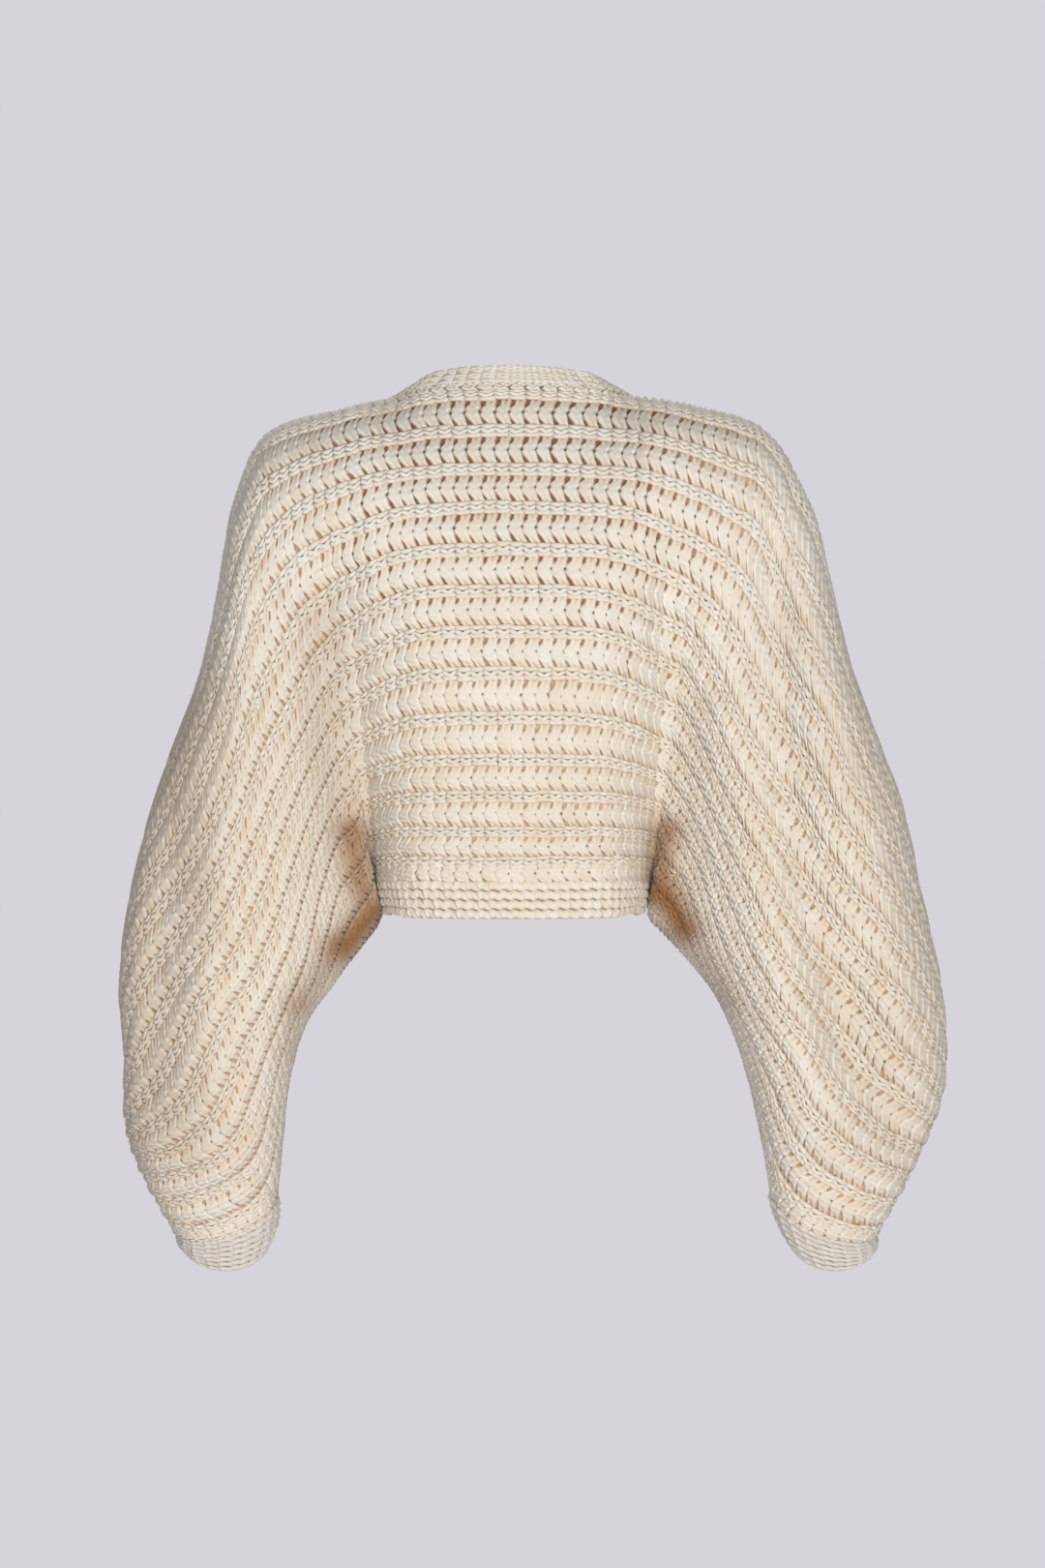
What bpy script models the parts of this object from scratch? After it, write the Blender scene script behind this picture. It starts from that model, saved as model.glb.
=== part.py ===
"""Cropped hand-knit sweater with batwing sleeves, in the hollow form that it has when worn.

Metres, +Z up. The chest faces -Y, the back faces +Y, and the wearer's left is +X. The origin
lies between the shoulders, level with their tops, where the wearer carries the garment.
Two wide rectangles of knitting, back and front, are joined over the shoulders, down the outer
sleeves and along the underarms. A band finishes the neck, the hem and each wrist.
"""

import collections
import math

import bpy
import numpy as np

MM = 0.001

# Wall
WALL = 6.5 * MM
RIB_RELIEF = 2.5 * MM
BAND_RELIEF = 1.2 * MM
SEAM_GAP = 0.4 * MM
BAND_GAP = 0.5 * MM
RIM_LEAN = (0.77, 0.53, 0.35)

# Knitting: one repeat is a tall row and a narrow ridge, counted down from the top edge
REPEATS = 13.1
FIRST_RIDGE = 0.6
NECK_ROWS = 4
HEM_ROWS = 4
CUFF_ROWS = 5

# Bands
NECK_RISE_BACK = 13 * MM
NECK_RISE_SIDE = 7 * MM
NECK_LEAN_BACK = 5 * MM
NECK_LEAN_SIDE = 12 * MM
HEM_HEIGHT = 31 * MM
HEM_TAPER = 0.05
HEM_SHIFT = 4 * MM
CUFF_HALF_WIDTH = 33 * MM
CUFF_HALF_DEPTH = 28 * MM
CUFF_TILT = 17 * MM
CUFF_SWELL = 3 * MM
CUFF_END_Y = -40 * MM
CUFF_END_Z = -686 * MM
LEFT_CUFF_END_X = 231 * MM
RIGHT_CUFF_END_X = -264 * MM
FRONT_NECK_DROP = 55 * MM
NECK_ROUNDING = 12 * MM

# Mesh density
CENTRE_STEPS = (0.0, 0.34, 0.67, 1.0, 1.4, 1.75, 2.0, 2.5)
UNDERARM_COLUMNS = 12
CUFF_COLUMNS = 6

# Places along the sections, counted from the centre of the back
NECK_CORNER = 2
HEM_CORNER = 3
CUFF = 15

# Each section runs from an outer point, on the neck, shoulder or outer sleeve, to an inner
# point, on the hem, underarm or inner wrist. Millimetres, x away from the middle.
Outline = collections.namedtuple("Outline", "name outer_x outer_z inner_x inner_z")
LEFT_OUTLINE = (
    Outline("centre", 0, 12, 0, -388),
    Outline("nape side", 60, 11, 52, -388),
    Outline("neck side", 98, 5, 88, -388),
    Outline("mid shoulder", 135, -4, 112, -392),
    Outline("shoulder tip", 196, -24, 114, -417),
    Outline("top of arm", 223, -82, 124, -438),
    Outline("upper arm", 234, -146, 137, -458),
    Outline("mid arm", 250, -220, 152, -477),
    Outline("above elbow", 272, -279, 166, -496),
    Outline("elbow", 293, -341, 174, -517),
    Outline("below elbow", 309, -410, 179, -544),
    Outline("high forearm", 316, -472, 183, -571),
    Outline("forearm", 313, -522, 185, -593),
    Outline("low forearm", 313, -580, 187, -615),
    Outline("above wrist", 301, -621, 189, -633),
    Outline("cuff", 273, -672, 188, -650),
)
RIGHT_OUTLINE = (
    Outline("centre", 0, 12, 0, -388),
    Outline("nape side", 60, 11, 54, -388),
    Outline("neck side", 98, 8, 91, -388),
    Outline("mid shoulder", 138, 1, 115, -392),
    Outline("shoulder tip", 203, -19, 117, -416),
    Outline("top of arm", 240, -76, 129, -433),
    Outline("upper arm", 258, -144, 143, -447),
    Outline("mid arm", 275, -214, 154, -462),
    Outline("above elbow", 295, -268, 166, -477),
    Outline("elbow", 317, -328, 177, -499),
    Outline("below elbow", 331, -392, 187, -525),
    Outline("high forearm", 344, -446, 195, -553),
    Outline("forearm", 353, -500, 201, -579),
    Outline("low forearm", 351, -560, 206, -604),
    Outline("above wrist", 328, -619, 209, -624),
    Outline("cuff", 298, -675, 211, -646),
)

# What gives each section its depth, in millimetres: the depth of its ends, how far back and
# front bulge between them and how far the middle hangs. Skew moves the bulge to the outer end,
# box squares it, and a round end of 1 turns over into the other panel. The last column is the
# row that meets the outer seam there.
Depth = collections.namedtuple(
    "Depth",
    "name back_outer back_inner front_outer front_inner back_bulge front_bulge"
    " droop skew box round_outer round_inner first_row",
)
DEPTHS = (
    Depth("centre", 50, 74, -84, -80, 36, -32, 0, 0.25, 0.00, 0.0, 0.0, 0),
    Depth("nape side", 36, 65, -70, -73, 49, -38, 0, 0.26, 0.00, 0.2, 0.0, 0),
    Depth("neck side", -15, 42, -15, -56, 87, -71, 0, 0.28, 0.02, 0.8, 0.0, 0),
    Depth("mid shoulder", -12, -20, -12, -20, 100, -82, 0, 0.21, 0.06, 1.0, 0.4, 0),
    Depth("shoulder tip", -10, -30, -10, -30, 96, -78, 0, 0.16, 0.08, 1.0, 0.9, 0),
    Depth("top of arm", -8, -37, -8, -37, 99, -70, 0, 0.10, 0.08, 1.0, 1.0, 0),
    Depth("upper arm", -6, -37, -6, -37, 101, -66, 0, 0.04, 0.09, 1.0, 1.0, 0),
    Depth("mid arm", -5, -32, -5, -32, 101, -64, 0, 0.00, 0.10, 1.0, 1.0, 0),
    Depth("above elbow", -5, -26, -5, -26, 99, -64, 0, -0.03, 0.10, 1.0, 1.0, 0),
    Depth("elbow", -7, -21, -7, -21, 95, -66, 0, -0.05, 0.10, 1.0, 1.0, 0.9),
    Depth("below elbow", -11, -19, -11, -19, 89, -66, 0, -0.05, 0.10, 1.0, 1.0, 2.4),
    Depth("high forearm", -16, -19, -16, -19, 82, -64, 2, -0.02, 0.09, 1.0, 1.0, 3.6),
    Depth("forearm", -21, -21, -21, -21, 74, -60, 5, 0.00, 0.08, 1.0, 1.0, 4.9),
    Depth("low forearm", -26, -25, -26, -25, 64, -54, 8, 0.00, 0.07, 1.0, 1.0, 7.2),
    Depth("above wrist", -31, -29, -31, -29, 51, -46, 12, 0.00, 0.06, 1.0, 1.0, 10.1),
    Depth("cuff", -35, -33, -35, -33, 38, -36, 15, 0.00, 0.05, 1.0, 1.0, REPEATS),
)

# Heights of the ridges down the middle of the back, in millimetres, from neckband to hem
RIDGE_HEIGHTS = (1.6, -29, -60, -91, -124, -156, -188, -221, -257, -290, -318, -346, -369)

# How far a row hangs below its middle at some distances from it, in millimetres
RowSag = collections.namedtuple("RowSag", "row at0 at60 at80 at100 at120 at135 at155 at175 at195 at225")
ROW_SAGS = (
    RowSag(0.0, 0, 1, 3, 7, 12, 16, 24, 30, 36, 96),
    RowSag(2.1, 0, 1, 3, 7, 14, 22, 40, 62, 82, 135),
    RowSag(4.1, 0, 2, 6, 14, 26, 37, 60, 88, 120, 170),
    RowSag(6.1, 0, 3, 7, 18, 31, 44, 88, 130, 170, 230),
    RowSag(8.1, 0, 2, 5, 14, 26, 38, 80, 130, 180, 250),
    RowSag(10.1, 0, 1, 3, 9, 17, 25, 60, 120, 180, 260),
    RowSag(13.1, 0, 0, 1, 2, 7, 14, 40, 100, 170, 260),
)

# The rows lie by these heights up to LEVEL_TO, and evenly round each section past EVEN_FROM
LEVEL_TO = 4.5
EVEN_FROM = 8.0

# Large folds: soft troughs (minus) and ridges (plus) along a line of two or three points, in
# millimetres seen from behind, x to the wearer's left.
Fold = collections.namedtuple("Fold", "name face height width x1 z1 x2 z2 x3 z3")
FOLDS = (
    Fold("left side valley", "back", -14, 20, 146, -150, 140, -260, 128, -370),
    Fold("right side valley", "back", -12, 20, -128, -160, -134, -270, -132, -370),
    Fold("left lit ridge", "back", 9, 24, 214, -150, 212, -300, 238, -470),
    Fold("left outer hollow", "back", -9, 20, 268, -330, 280, -460, 290, -560),
    Fold("left forearm ridge", "back", 6, 22, 238, -470, 238, -540, 232, -610),
    Fold("right arm hollow", "back", -12, 18, -208, -130, -222, -330, -262, -520),
    Fold("right lit ridge", "back", 8, 22, -170, -260, -200, -420, -258, -590),
    Fold("right outer ridge", "back", 9, 24, -262, -240, -290, -380, -310, -480),
    Fold("right tuck", "back", -13, 19, -268, -470, -286, -545, -316, -590),
    Fold("left chest fold", "front", -10, 18, 146, -140, 138, -260, 124, -360),
    Fold("right chest fold", "front", -10, 18, -138, -130, -136, -250, -128, -350),
    Fold("left front hollow", "front", -9, 18, 232, -200, 250, -350, 262, -470),
    Fold("left front ridge", "front", 7, 20, 205, -240, 218, -400, 226, -560),
    Fold("right front hollow", "front", -10, 18, -240, -180, -262, -340, -285, -480),
    Fold("right front ridge", "front", 7, 20, -206, -260, -226, -420, -250, -570),
    Fold("front hem sag", "front", 6, 40, -60, -350, 0, -330, 60, -350),
)

CREAM = (0.80, 0.72, 0.58, 1.0)
YARN_ROUGHNESS = 0.9


def full_table(rows_left, rows_right, column, flip=False):
    """One column from the right cuff through the centre to the left cuff."""
    sign = -1.0 if flip else 1.0
    right = [sign * getattr(row, column) for row in rows_right[:0:-1]]
    left = [getattr(row, column) for row in rows_left]
    return np.array(right + left, float)


LENGTHS = "outer_x outer_z inner_x inner_z".split()
TABLE = {
    name: full_table(LEFT_OUTLINE, RIGHT_OUTLINE, name, flip=name.endswith("_x")) * MM
    for name in LENGTHS
}
for depth_name in Depth._fields[1:]:
    unit = MM if depth_name in Depth._fields[1:8] else 1.0
    TABLE[depth_name] = full_table(DEPTHS, DEPTHS, depth_name) * unit


def spline(values, t):
    """A smooth curve through values that stand at -CUFF .. CUFF."""
    padded = np.concatenate([[2 * values[0] - values[1]], values, [2 * values[-1] - values[-2]]])
    place = np.clip(np.asarray(t, float) + CUFF, 0, 2 * CUFF - 1e-9)
    i = np.floor(place).astype(int)
    f = place - i
    before, first, second, after = (padded[i + n] for n in range(4))
    slope = (second - before) * f
    bend = (2 * before - 5 * first + 4 * second - after) * f**2
    turn = (3 * first - before - 3 * second + after) * f**3
    return first + 0.5 * (slope + bend + turn)


def at(name, t):
    return spline(TABLE[name], t)


def end_depth(face, end, t):
    """The depth of a section's end. Past the corner of an opening both panels share it."""
    own = at(f"{face}_{end}", t)
    shared = (at(f"back_{end}", t) + at(f"front_{end}", t)) / 2
    corner = NECK_CORNER if end == "outer" else HEM_CORNER
    return np.where(np.abs(t) > corner, shared, own)


def fold_height(face, x, z):
    total = np.zeros_like(x)
    for fold in FOLDS:
        if fold.face != face:
            continue
        corners = np.array([(fold.x1, fold.z1), (fold.x2, fold.z2), (fold.x3, fold.z3)]) * MM
        nearest = np.full_like(x, 9.0)
        for start, end in zip(corners, corners[1:]):
            run = end - start
            share = ((x - start[0]) * run[0] + (z - start[1]) * run[1]) / (run @ run)
            share = np.clip(share, 0, 1)
            away = np.hypot(x - start[0] - share * run[0], z - start[1] - share * run[1])
            nearest = np.minimum(nearest, away)
        total += fold.height * MM * np.exp(-((nearest / (fold.width * MM)) ** 2))
    return total


def surface(face, t, u):
    """The crest of the knitting: t counts sections, u runs from the outer to the inner end."""
    t, u = np.broadcast_arrays(np.asarray(t, float), np.asarray(u, float))
    start_slope = 1 - np.clip(at("round_outer", t), 0, 1)
    end_slope = 1 - np.clip(at("round_inner", t), 0, 1)
    share = 3 * u**2 - 2 * u**3
    share = share + start_slope * (u**3 - 2 * u**2 + u) + end_slope * (u**3 - u**2)
    neck = np.clip(1 - (np.abs(t) / NECK_CORNER) ** 2, 0, 1)
    drop = FRONT_NECK_DROP * neck if face == "front" else 0.0
    top = at("outer_z", t) - drop
    x = at("outer_x", t) + (at("inner_x", t) - at("outer_x", t)) * share
    z = top + (at("inner_z", t) - top) * share
    arch = np.sin(np.pi * u)
    sign = 1.0 if face == "back" else -1.0
    z = z - sign * at("droop", t) * arch
    wave = arch + at("skew", t) * np.sin(2 * np.pi * u) + at("box", t) * np.sin(3 * np.pi * u)
    y = end_depth(face, "outer", t) * (1 - share) + end_depth(face, "inner", t) * share
    y = y + at(face + "_bulge", t) * wave
    y = y + sign * fold_height(face, x, z) * arch * (2 - arch)
    corner_swell = np.clip(4 * (np.abs(t) - 1) * (2 - np.abs(t)), 0, 1)
    y = y + sign * NECK_ROUNDING * corner_swell * (1 - u) ** 10
    return np.stack([x, y, z], axis=-1)


def normal(face, t, u):
    """The outward direction. On a seam it is shared by both panels."""
    step_t, step_u = 0.02, 0.01
    low_u, high_u = np.maximum(u - step_u, 0), np.minimum(u + step_u, 1)
    low_t, high_t = np.maximum(t - step_t, -CUFF), np.minimum(t + step_t, CUFF)

    def one(side):
        along = surface(side, high_t, u) - surface(side, low_t, u)
        across = surface(side, t, high_u) - surface(side, t, low_u)
        out = np.cross(along, across) * (1.0 if side == "back" else -1.0)
        return out / np.linalg.norm(out)

    out = one(face)
    if on_seam(t, u):
        out = one("back") + one("front")
    return out / np.linalg.norm(out)


def on_seam(t, u):
    at_top = u < 1e-6 and abs(t) >= NECK_CORNER - 1e-6
    at_bottom = u > 1 - 1e-6 and abs(t) >= HEM_CORNER - 1e-6
    return at_top or at_bottom


def row_heights():
    """The grid's rows: the edges, each ridge and the middle of each tall row."""
    rows = [0.0]
    row = FIRST_RIDGE
    while row < REPEATS - 1e-6:
        rows.append(row)
        row += 0.5
    rows.append(REPEATS)
    return rows


RING_T = np.linspace(-CUFF, CUFF, 601)
RING_U = np.linspace(0, 1, 81)


def ring_shares():
    """How far round its section each point of a fine grid lies, from 0 to 1."""
    grid = surface("back", RING_T[:, None], RING_U[None, :])
    steps = np.linalg.norm(np.diff(grid, axis=1), axis=2)
    run = np.concatenate([np.zeros((len(RING_T), 1)), np.cumsum(steps, axis=1)], axis=1)
    return run / run[:, -1:]


SHARES = ring_shares()


def first_row(t):
    return np.interp(np.abs(t), range(CUFF + 1), [row.first_row for row in DEPTHS])


def row_height(row):
    """The height of a row at the middle of the back."""
    rows = [0.0] + [FIRST_RIDGE + n for n in range(len(RIDGE_HEIGHTS))] + [REPEATS]
    centre = LEFT_OUTLINE[0]
    return float(np.interp(row, rows, [centre.outer_z, *RIDGE_HEIGHTS, centre.inner_z])) * MM


def sag(x, row):
    away = [float(name[2:]) for name in RowSag._fields[1:]]
    table = np.array([values[1:] for values in ROW_SAGS], float)
    rows = [values.row for values in ROW_SAGS]
    drops = [np.interp(row, rows, table[:, n]) for n in range(len(away))]
    return np.interp(np.abs(x) / MM, away, drops) * MM


def place_by_height(t, row):
    """The u at which a row crosses the section at t, level across the middle of the back."""
    line = surface("back", t, RING_U)
    level = line[:, 2] + sag(line[:, 0], row)
    share = row / REPEATS
    goal = row_height(row) + (level[0] - row_height(0)) * (1 - share) ** 3
    goal += (level[-1] - row_height(REPEATS)) * share**3
    return float(np.interp(-goal, -level, RING_U))


def place_on_ring(t, row):
    """The u of a row on the section at t."""
    even = place_evenly(t, row)
    if abs(t) >= EVEN_FROM:
        return even
    blend = min((EVEN_FROM - abs(t)) / (EVEN_FROM - LEVEL_TO), 1.0)
    blend = blend * blend * (3 - 2 * blend)
    return even * (1 - blend) + place_by_height(t, row) * blend


def place_evenly(t, row):
    """The u of a row where the rows are spaced evenly round the section."""
    begins = first_row(t)
    share = np.clip((row - begins) / max(REPEATS - begins, 1e-6), 0, 1)
    place = (t + CUFF) / (2 * CUFF) * (len(RING_T) - 1)
    i = min(int(place), len(RING_T) - 2)
    f = place - i
    shares = SHARES[i] * (1 - f) + SHARES[i + 1] * f
    return float(np.interp(share, shares, RING_U))


def row_path(side, row, steps=160):
    """Fine (t, u) points of a row from the hem corner's section to the outer seam."""
    if row > REPEATS - 1e-6:
        underarm = [(side * (HEM_CORNER + (CUFF - HEM_CORNER) * n / steps), 1.0) for n in range(steps)]
        wrist = [(side * CUFF, 1 - n / 40) for n in range(41)]
        return underarm + wrist
    starts = np.linspace(0, CUFF, 1501)
    rows = first_row(starts)
    flat = np.flatnonzero(rows <= 0)[-1]
    end = float(np.interp(row, rows[flat:], starts[flat:]))
    path = []
    for n in range(steps + 1):
        share = 1 - (1 - n / steps) ** 2.5
        t = HEM_CORNER + (end - HEM_CORNER) * share
        path.append((side * t, place_on_ring(side * t, row)))
    path[-1] = (side * end, 0.0)
    return path


def run_along(path):
    t, u = np.array(path).T
    points = surface("back", t, u)
    steps = np.linalg.norm(np.diff(points, axis=0), axis=1)
    return np.concatenate([[0], np.cumsum(steps)])


def wrist_share(side):
    """How far along the bottom row the underarm ends and the cuff begins."""
    path = row_path(side, REPEATS)
    run = run_along(path)
    corner = next(n for n, (t, u) in enumerate(path) if abs(t) >= CUFF)
    return run[corner] / run[-1]


def sleeve_columns(side, row):
    """The (t, u) of a row's points beyond the hem corner."""
    corner = wrist_share(side)
    shares = [corner * (n / UNDERARM_COLUMNS) ** 1.2 for n in range(UNDERARM_COLUMNS + 1)]
    shares += [corner + (1 - corner) * n / CUFF_COLUMNS for n in range(1, CUFF_COLUMNS + 1)]
    path = row_path(side, row)
    run = run_along(path) / run_along(path)[-1]
    t, u = np.array(path).T
    places = [(float(np.interp(s, run, t)), float(np.interp(s, run, u))) for s in shares]
    places[0] = path[0]
    places[-1] = path[-1]
    if row > REPEATS - 1e-6:
        places[UNDERARM_COLUMNS] = (side * float(CUFF), 1.0)
    return places


def grid_places():
    """Rows of (t, u), each from the right end of the row to its left end."""
    grid = []
    for row in row_heights():
        middle = [t for t in CENTRE_STEPS]
        left = [(t, place_on_ring(t, row)) for t in middle] + sleeve_columns(1, row)
        right = [(-t, place_on_ring(-t, row)) for t in middle[1:]] + sleeve_columns(-1, row)
        grid.append(right[::-1] + left)
    return grid


def relief(row):
    """How far the outer face lies below the crest of the ridges."""
    if row < 1e-6 or row > REPEATS - 1e-6:
        return RIB_RELIEF / 2
    on_ridge = abs((row - FIRST_RIDGE) % 1.0) < 0.25 or abs((row - FIRST_RIDGE) % 1.0) > 0.75
    return 0.0 if on_ridge else RIB_RELIEF


def seam_step(face, t, u):
    """Into the panel from its seam, half of the gap."""
    if not on_seam(t, u):
        return np.zeros(3)
    near = surface(face, t, 0.02) - surface(face, t, 0.0) if u < 0.5 else surface(
        face, t, 0.98
    ) - surface(face, t, 1.0)
    out = normal(face, t, u)
    near = near - out * (near @ out)
    return near / np.linalg.norm(near) * SEAM_GAP / 2


def rim_faces(points, a, b, under_a, under_b):
    """Two triangles of a rim. Facing rims of joined pieces split the same way."""
    lean = np.array(RIM_LEAN)
    if points[a] @ lean > points[b] @ lean:
        return [(b, a, under_a), (b, under_a, under_b)]
    return [(b, a, under_b), (a, under_a, under_b)]


def mesh_object(name, points, faces):
    mesh = bpy.data.meshes.new(name)
    mesh.from_pydata([tuple(point) for point in points], [], faces)
    mesh.validate()
    mesh.shade_smooth()
    mesh.set_sharp_from_angle(angle=math.radians(50))
    thing = bpy.data.objects.new(name, mesh)
    return thing


def panel(name, face, places):
    """A knitted rectangle: ridged outside, plain inside, with a rim all round."""
    rows, columns = len(places), len(places[0])
    outer, inner = [], []
    for places_in_row, row in zip(places, row_heights()):
        for t, u in places_in_row:
            out = normal(face, t, u)
            base = surface(face, t, u) + seam_step(face, t, u)
            outer.append(base - out * relief(row))
            inner.append(base - out * WALL)
    half = rows * columns
    faces = []
    for r in range(rows - 1):
        for c in range(columns - 1):
            a = r * columns + c
            quad = (a, a + 1, a + columns + 1, a + columns)
            faces.append(quad)
            faces.append(tuple(half + n for n in quad[::-1]))
    rim = [c for c in range(columns)]
    rim += [r * columns + columns - 1 for r in range(1, rows)]
    rim += [(rows - 1) * columns + c for c in range(columns - 2, -1, -1)]
    rim += [r * columns for r in range(rows - 2, 0, -1)]
    for a, b in zip(rim, rim[1:] + rim[:1]):
        faces += rim_faces(outer + inner, a, b, half + a, half + b)
    if face == "front":
        faces = [quad[::-1] for quad in faces]
    return mesh_object(name, outer + inner, faces)


def tube(name, rings, reliefs):
    """A band: rings of (point, outward) from its sewn edge to its free edge."""
    count = len(rings[0])
    outer = [p - n * depth for ring, depth in zip(rings, reliefs) for p, n in ring]
    inner = [p - n * WALL for ring in rings for p, n in ring]
    half = len(outer)
    faces = []
    for r in range(len(rings) - 1):
        for c in range(count):
            d = (c + 1) % count
            quad = (r * count + c, r * count + d, (r + 1) * count + d, (r + 1) * count + c)
            faces.append(quad)
            faces.append(tuple(half + n for n in quad[::-1]))
    last = (len(rings) - 1) * count
    for c in range(count):
        d = (c + 1) % count
        faces += rim_faces(outer + inner, c, d, half + c, half + d)
        far = (last + d, last + c, half + last + d, half + last + c)
        faces += rim_faces(outer + inner, *far)
    return mesh_object(name, outer + inner, faces)


def edge_ring(places_back, places_front, way, inward=0.0):
    """Points a gap away from the panels' edges, and outward directions, back then front."""
    ring = [("back", t, u) for t, u in places_back] + [("front", t, u) for t, u in places_front]
    points = [surface(face, t, u) for face, t, u in ring]
    outs = [normal(face, t, u) for face, t, u in ring]
    edge = []
    middle = sum(points) / len(points)
    for n, (point, out) in enumerate(zip(points, outs)):
        away = np.cross(points[(n + 1) % len(points)] - points[n - 1], out)
        towards = np.array(way) + inward * (middle - point)
        away = away / np.linalg.norm(away) * math.copysign(BAND_GAP, away @ towards)
        edge.append((point + away, out))
    return edge


def band_reliefs(rows):
    """A band's outer face rises on each dense row."""
    return [RIB_RELIEF / 2] + [0.0 if n % 2 else BAND_RELIEF for n in range(1, 2 * rows)] + [BAND_RELIEF]


def neckband(places):
    top = [place for place in places[0] if abs(place[0]) <= NECK_CORNER + 1e-6]
    edge = edge_ring(top[::-1], top[1:-1], (0, 0, 1), inward=20.0)
    rings = []
    for n in range(2 * NECK_ROWS + 1):
        share = n / (2 * NECK_ROWS)
        ring = []
        for point, out in edge:
            flat = np.array([point[0], point[1] + 0.015, 0])
            sideways = abs(flat[0]) / np.linalg.norm(flat)
            inward = -flat / np.linalg.norm(flat)
            lean = NECK_LEAN_BACK + (NECK_LEAN_SIDE - NECK_LEAN_BACK) * sideways
            rise = NECK_RISE_BACK + (NECK_RISE_SIDE - NECK_RISE_BACK) * sideways**2
            lift = np.array([0, 0, rise * share]) + inward * lean * share
            turned = out * (1 - share) + (-inward + np.array([0, 0, 0.35])) * share
            ring.append((point + lift, turned / np.linalg.norm(turned)))
        rings.append(ring)
    return tube("neckband", rings, band_reliefs(NECK_ROWS))


def hem_band(places):
    bottom = [place for place in places[-1] if abs(place[0]) <= HEM_CORNER + 1e-6]
    edge = edge_ring(bottom, bottom[-2:0:-1], (0, 0, -1), inward=20.0)
    rings = []
    for n in range(2 * HEM_ROWS + 1):
        share = n / (2 * HEM_ROWS)
        ring = []
        for point, out in edge:
            flat = np.array([point[0], point[1], 0])
            down = np.array([-HEM_SHIFT, 0, -HEM_HEIGHT]) * share - flat * HEM_TAPER * share
            turned = out * (1 - share) + flat / np.linalg.norm(flat) * share
            ring.append((point + down, turned / np.linalg.norm(turned)))
        rings.append(ring)
    return tube("hem_band", rings, band_reliefs(HEM_ROWS))


def cuff(name, side, end_x, places):
    wrist = [place for place in places[-1] if abs(place[0]) >= CUFF - 1e-6 and place[0] * side > 0]
    if side < 0:
        wrist = wrist[::-1]
    edge = edge_ring(wrist, wrist[-2:0:-1], (0, 0, -1))
    if side < 0:
        edge = edge[::-1]
    end = np.array([end_x, CUFF_END_Y, CUFF_END_Z])
    middle = sum(point for point, out in edge) / len(edge)
    rings = []
    for n in range(2 * CUFF_ROWS + 1):
        share = n / (2 * CUFF_ROWS)
        ring = []
        for point, out in edge:
            spoke = point - middle
            angle = math.atan2(spoke[1] / CUFF_HALF_DEPTH, spoke[0] / CUFF_HALF_WIDTH)
            across, deep = math.cos(angle), math.sin(angle)
            goal = end + (across * CUFF_HALF_WIDTH, deep * CUFF_HALF_DEPTH, -deep * CUFF_TILT)
            flat = np.array([across, deep, 0])
            swell = CUFF_SWELL * math.sin(math.pi * share)
            turned = out * (1 - share) + flat * share
            ring.append((point + (goal - point) * share + flat * swell, turned / np.linalg.norm(turned)))
        rings.append(ring)
    return tube(name, rings, band_reliefs(CUFF_ROWS))


def yarn_material(name):
    material = bpy.data.materials.new(name)
    material.use_nodes = True
    shader = material.node_tree.nodes["Principled BSDF"]
    shader.inputs["Base Color"].default_value = CREAM
    shader.inputs["Roughness"].default_value = YARN_ROUGHNESS
    shader.inputs["Metallic"].default_value = 0.0
    return material


def main():
    for thing in list(bpy.data.objects):
        bpy.data.objects.remove(thing, do_unlink=True)
    garment = bpy.data.collections.new("cropped_sweater")
    bpy.context.scene.collection.children.link(garment)
    places = grid_places()
    pieces = (
        panel("back_panel", "back", places),
        panel("front_panel", "front", places),
        neckband(places),
        hem_band(places),
        cuff("left_cuff", 1, LEFT_CUFF_END_X, places),
        cuff("right_cuff", -1, RIGHT_CUFF_END_X, places),
    )
    for piece in pieces:
        piece.data.materials.append(yarn_material(piece.name))
        garment.objects.link(piece)


main()
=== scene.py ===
import math
from collections import namedtuple
from functools import partial

import bpy
import numpy as np
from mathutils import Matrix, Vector


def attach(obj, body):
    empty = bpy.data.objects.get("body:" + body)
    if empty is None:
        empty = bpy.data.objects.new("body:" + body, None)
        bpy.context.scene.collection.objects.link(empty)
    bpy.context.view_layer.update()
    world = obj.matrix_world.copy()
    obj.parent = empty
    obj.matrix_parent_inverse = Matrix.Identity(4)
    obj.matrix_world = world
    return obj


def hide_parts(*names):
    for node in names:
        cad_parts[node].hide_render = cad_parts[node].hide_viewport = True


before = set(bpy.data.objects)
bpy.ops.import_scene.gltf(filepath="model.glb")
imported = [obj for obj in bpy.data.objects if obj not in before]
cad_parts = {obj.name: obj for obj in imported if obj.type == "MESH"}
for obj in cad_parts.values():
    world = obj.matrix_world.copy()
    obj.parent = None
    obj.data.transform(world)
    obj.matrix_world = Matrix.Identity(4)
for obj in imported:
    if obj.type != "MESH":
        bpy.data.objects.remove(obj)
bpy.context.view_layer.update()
mm = 0.001

# The knitting: one repeat is a tall row and a narrow ridge, counted down from the top edge
knitting = {
    "repeats": 13.1,
    "firstRidge": 0.6,
    "halfColumns": 54,        # stitches from the middle of the back to the outer seam
    "centreColumns": 12,      # of these, up to the corner of the hem
    "bunching": 0.20,         # how much closer the middle stitches of the lowest row lie
    "seamGap": 0.4 * mm,
    "guideRows": 66,
    "levelUntil": 8.0,        # section where the rows stop lying level
    "levelFade": 3.5,
}

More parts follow.
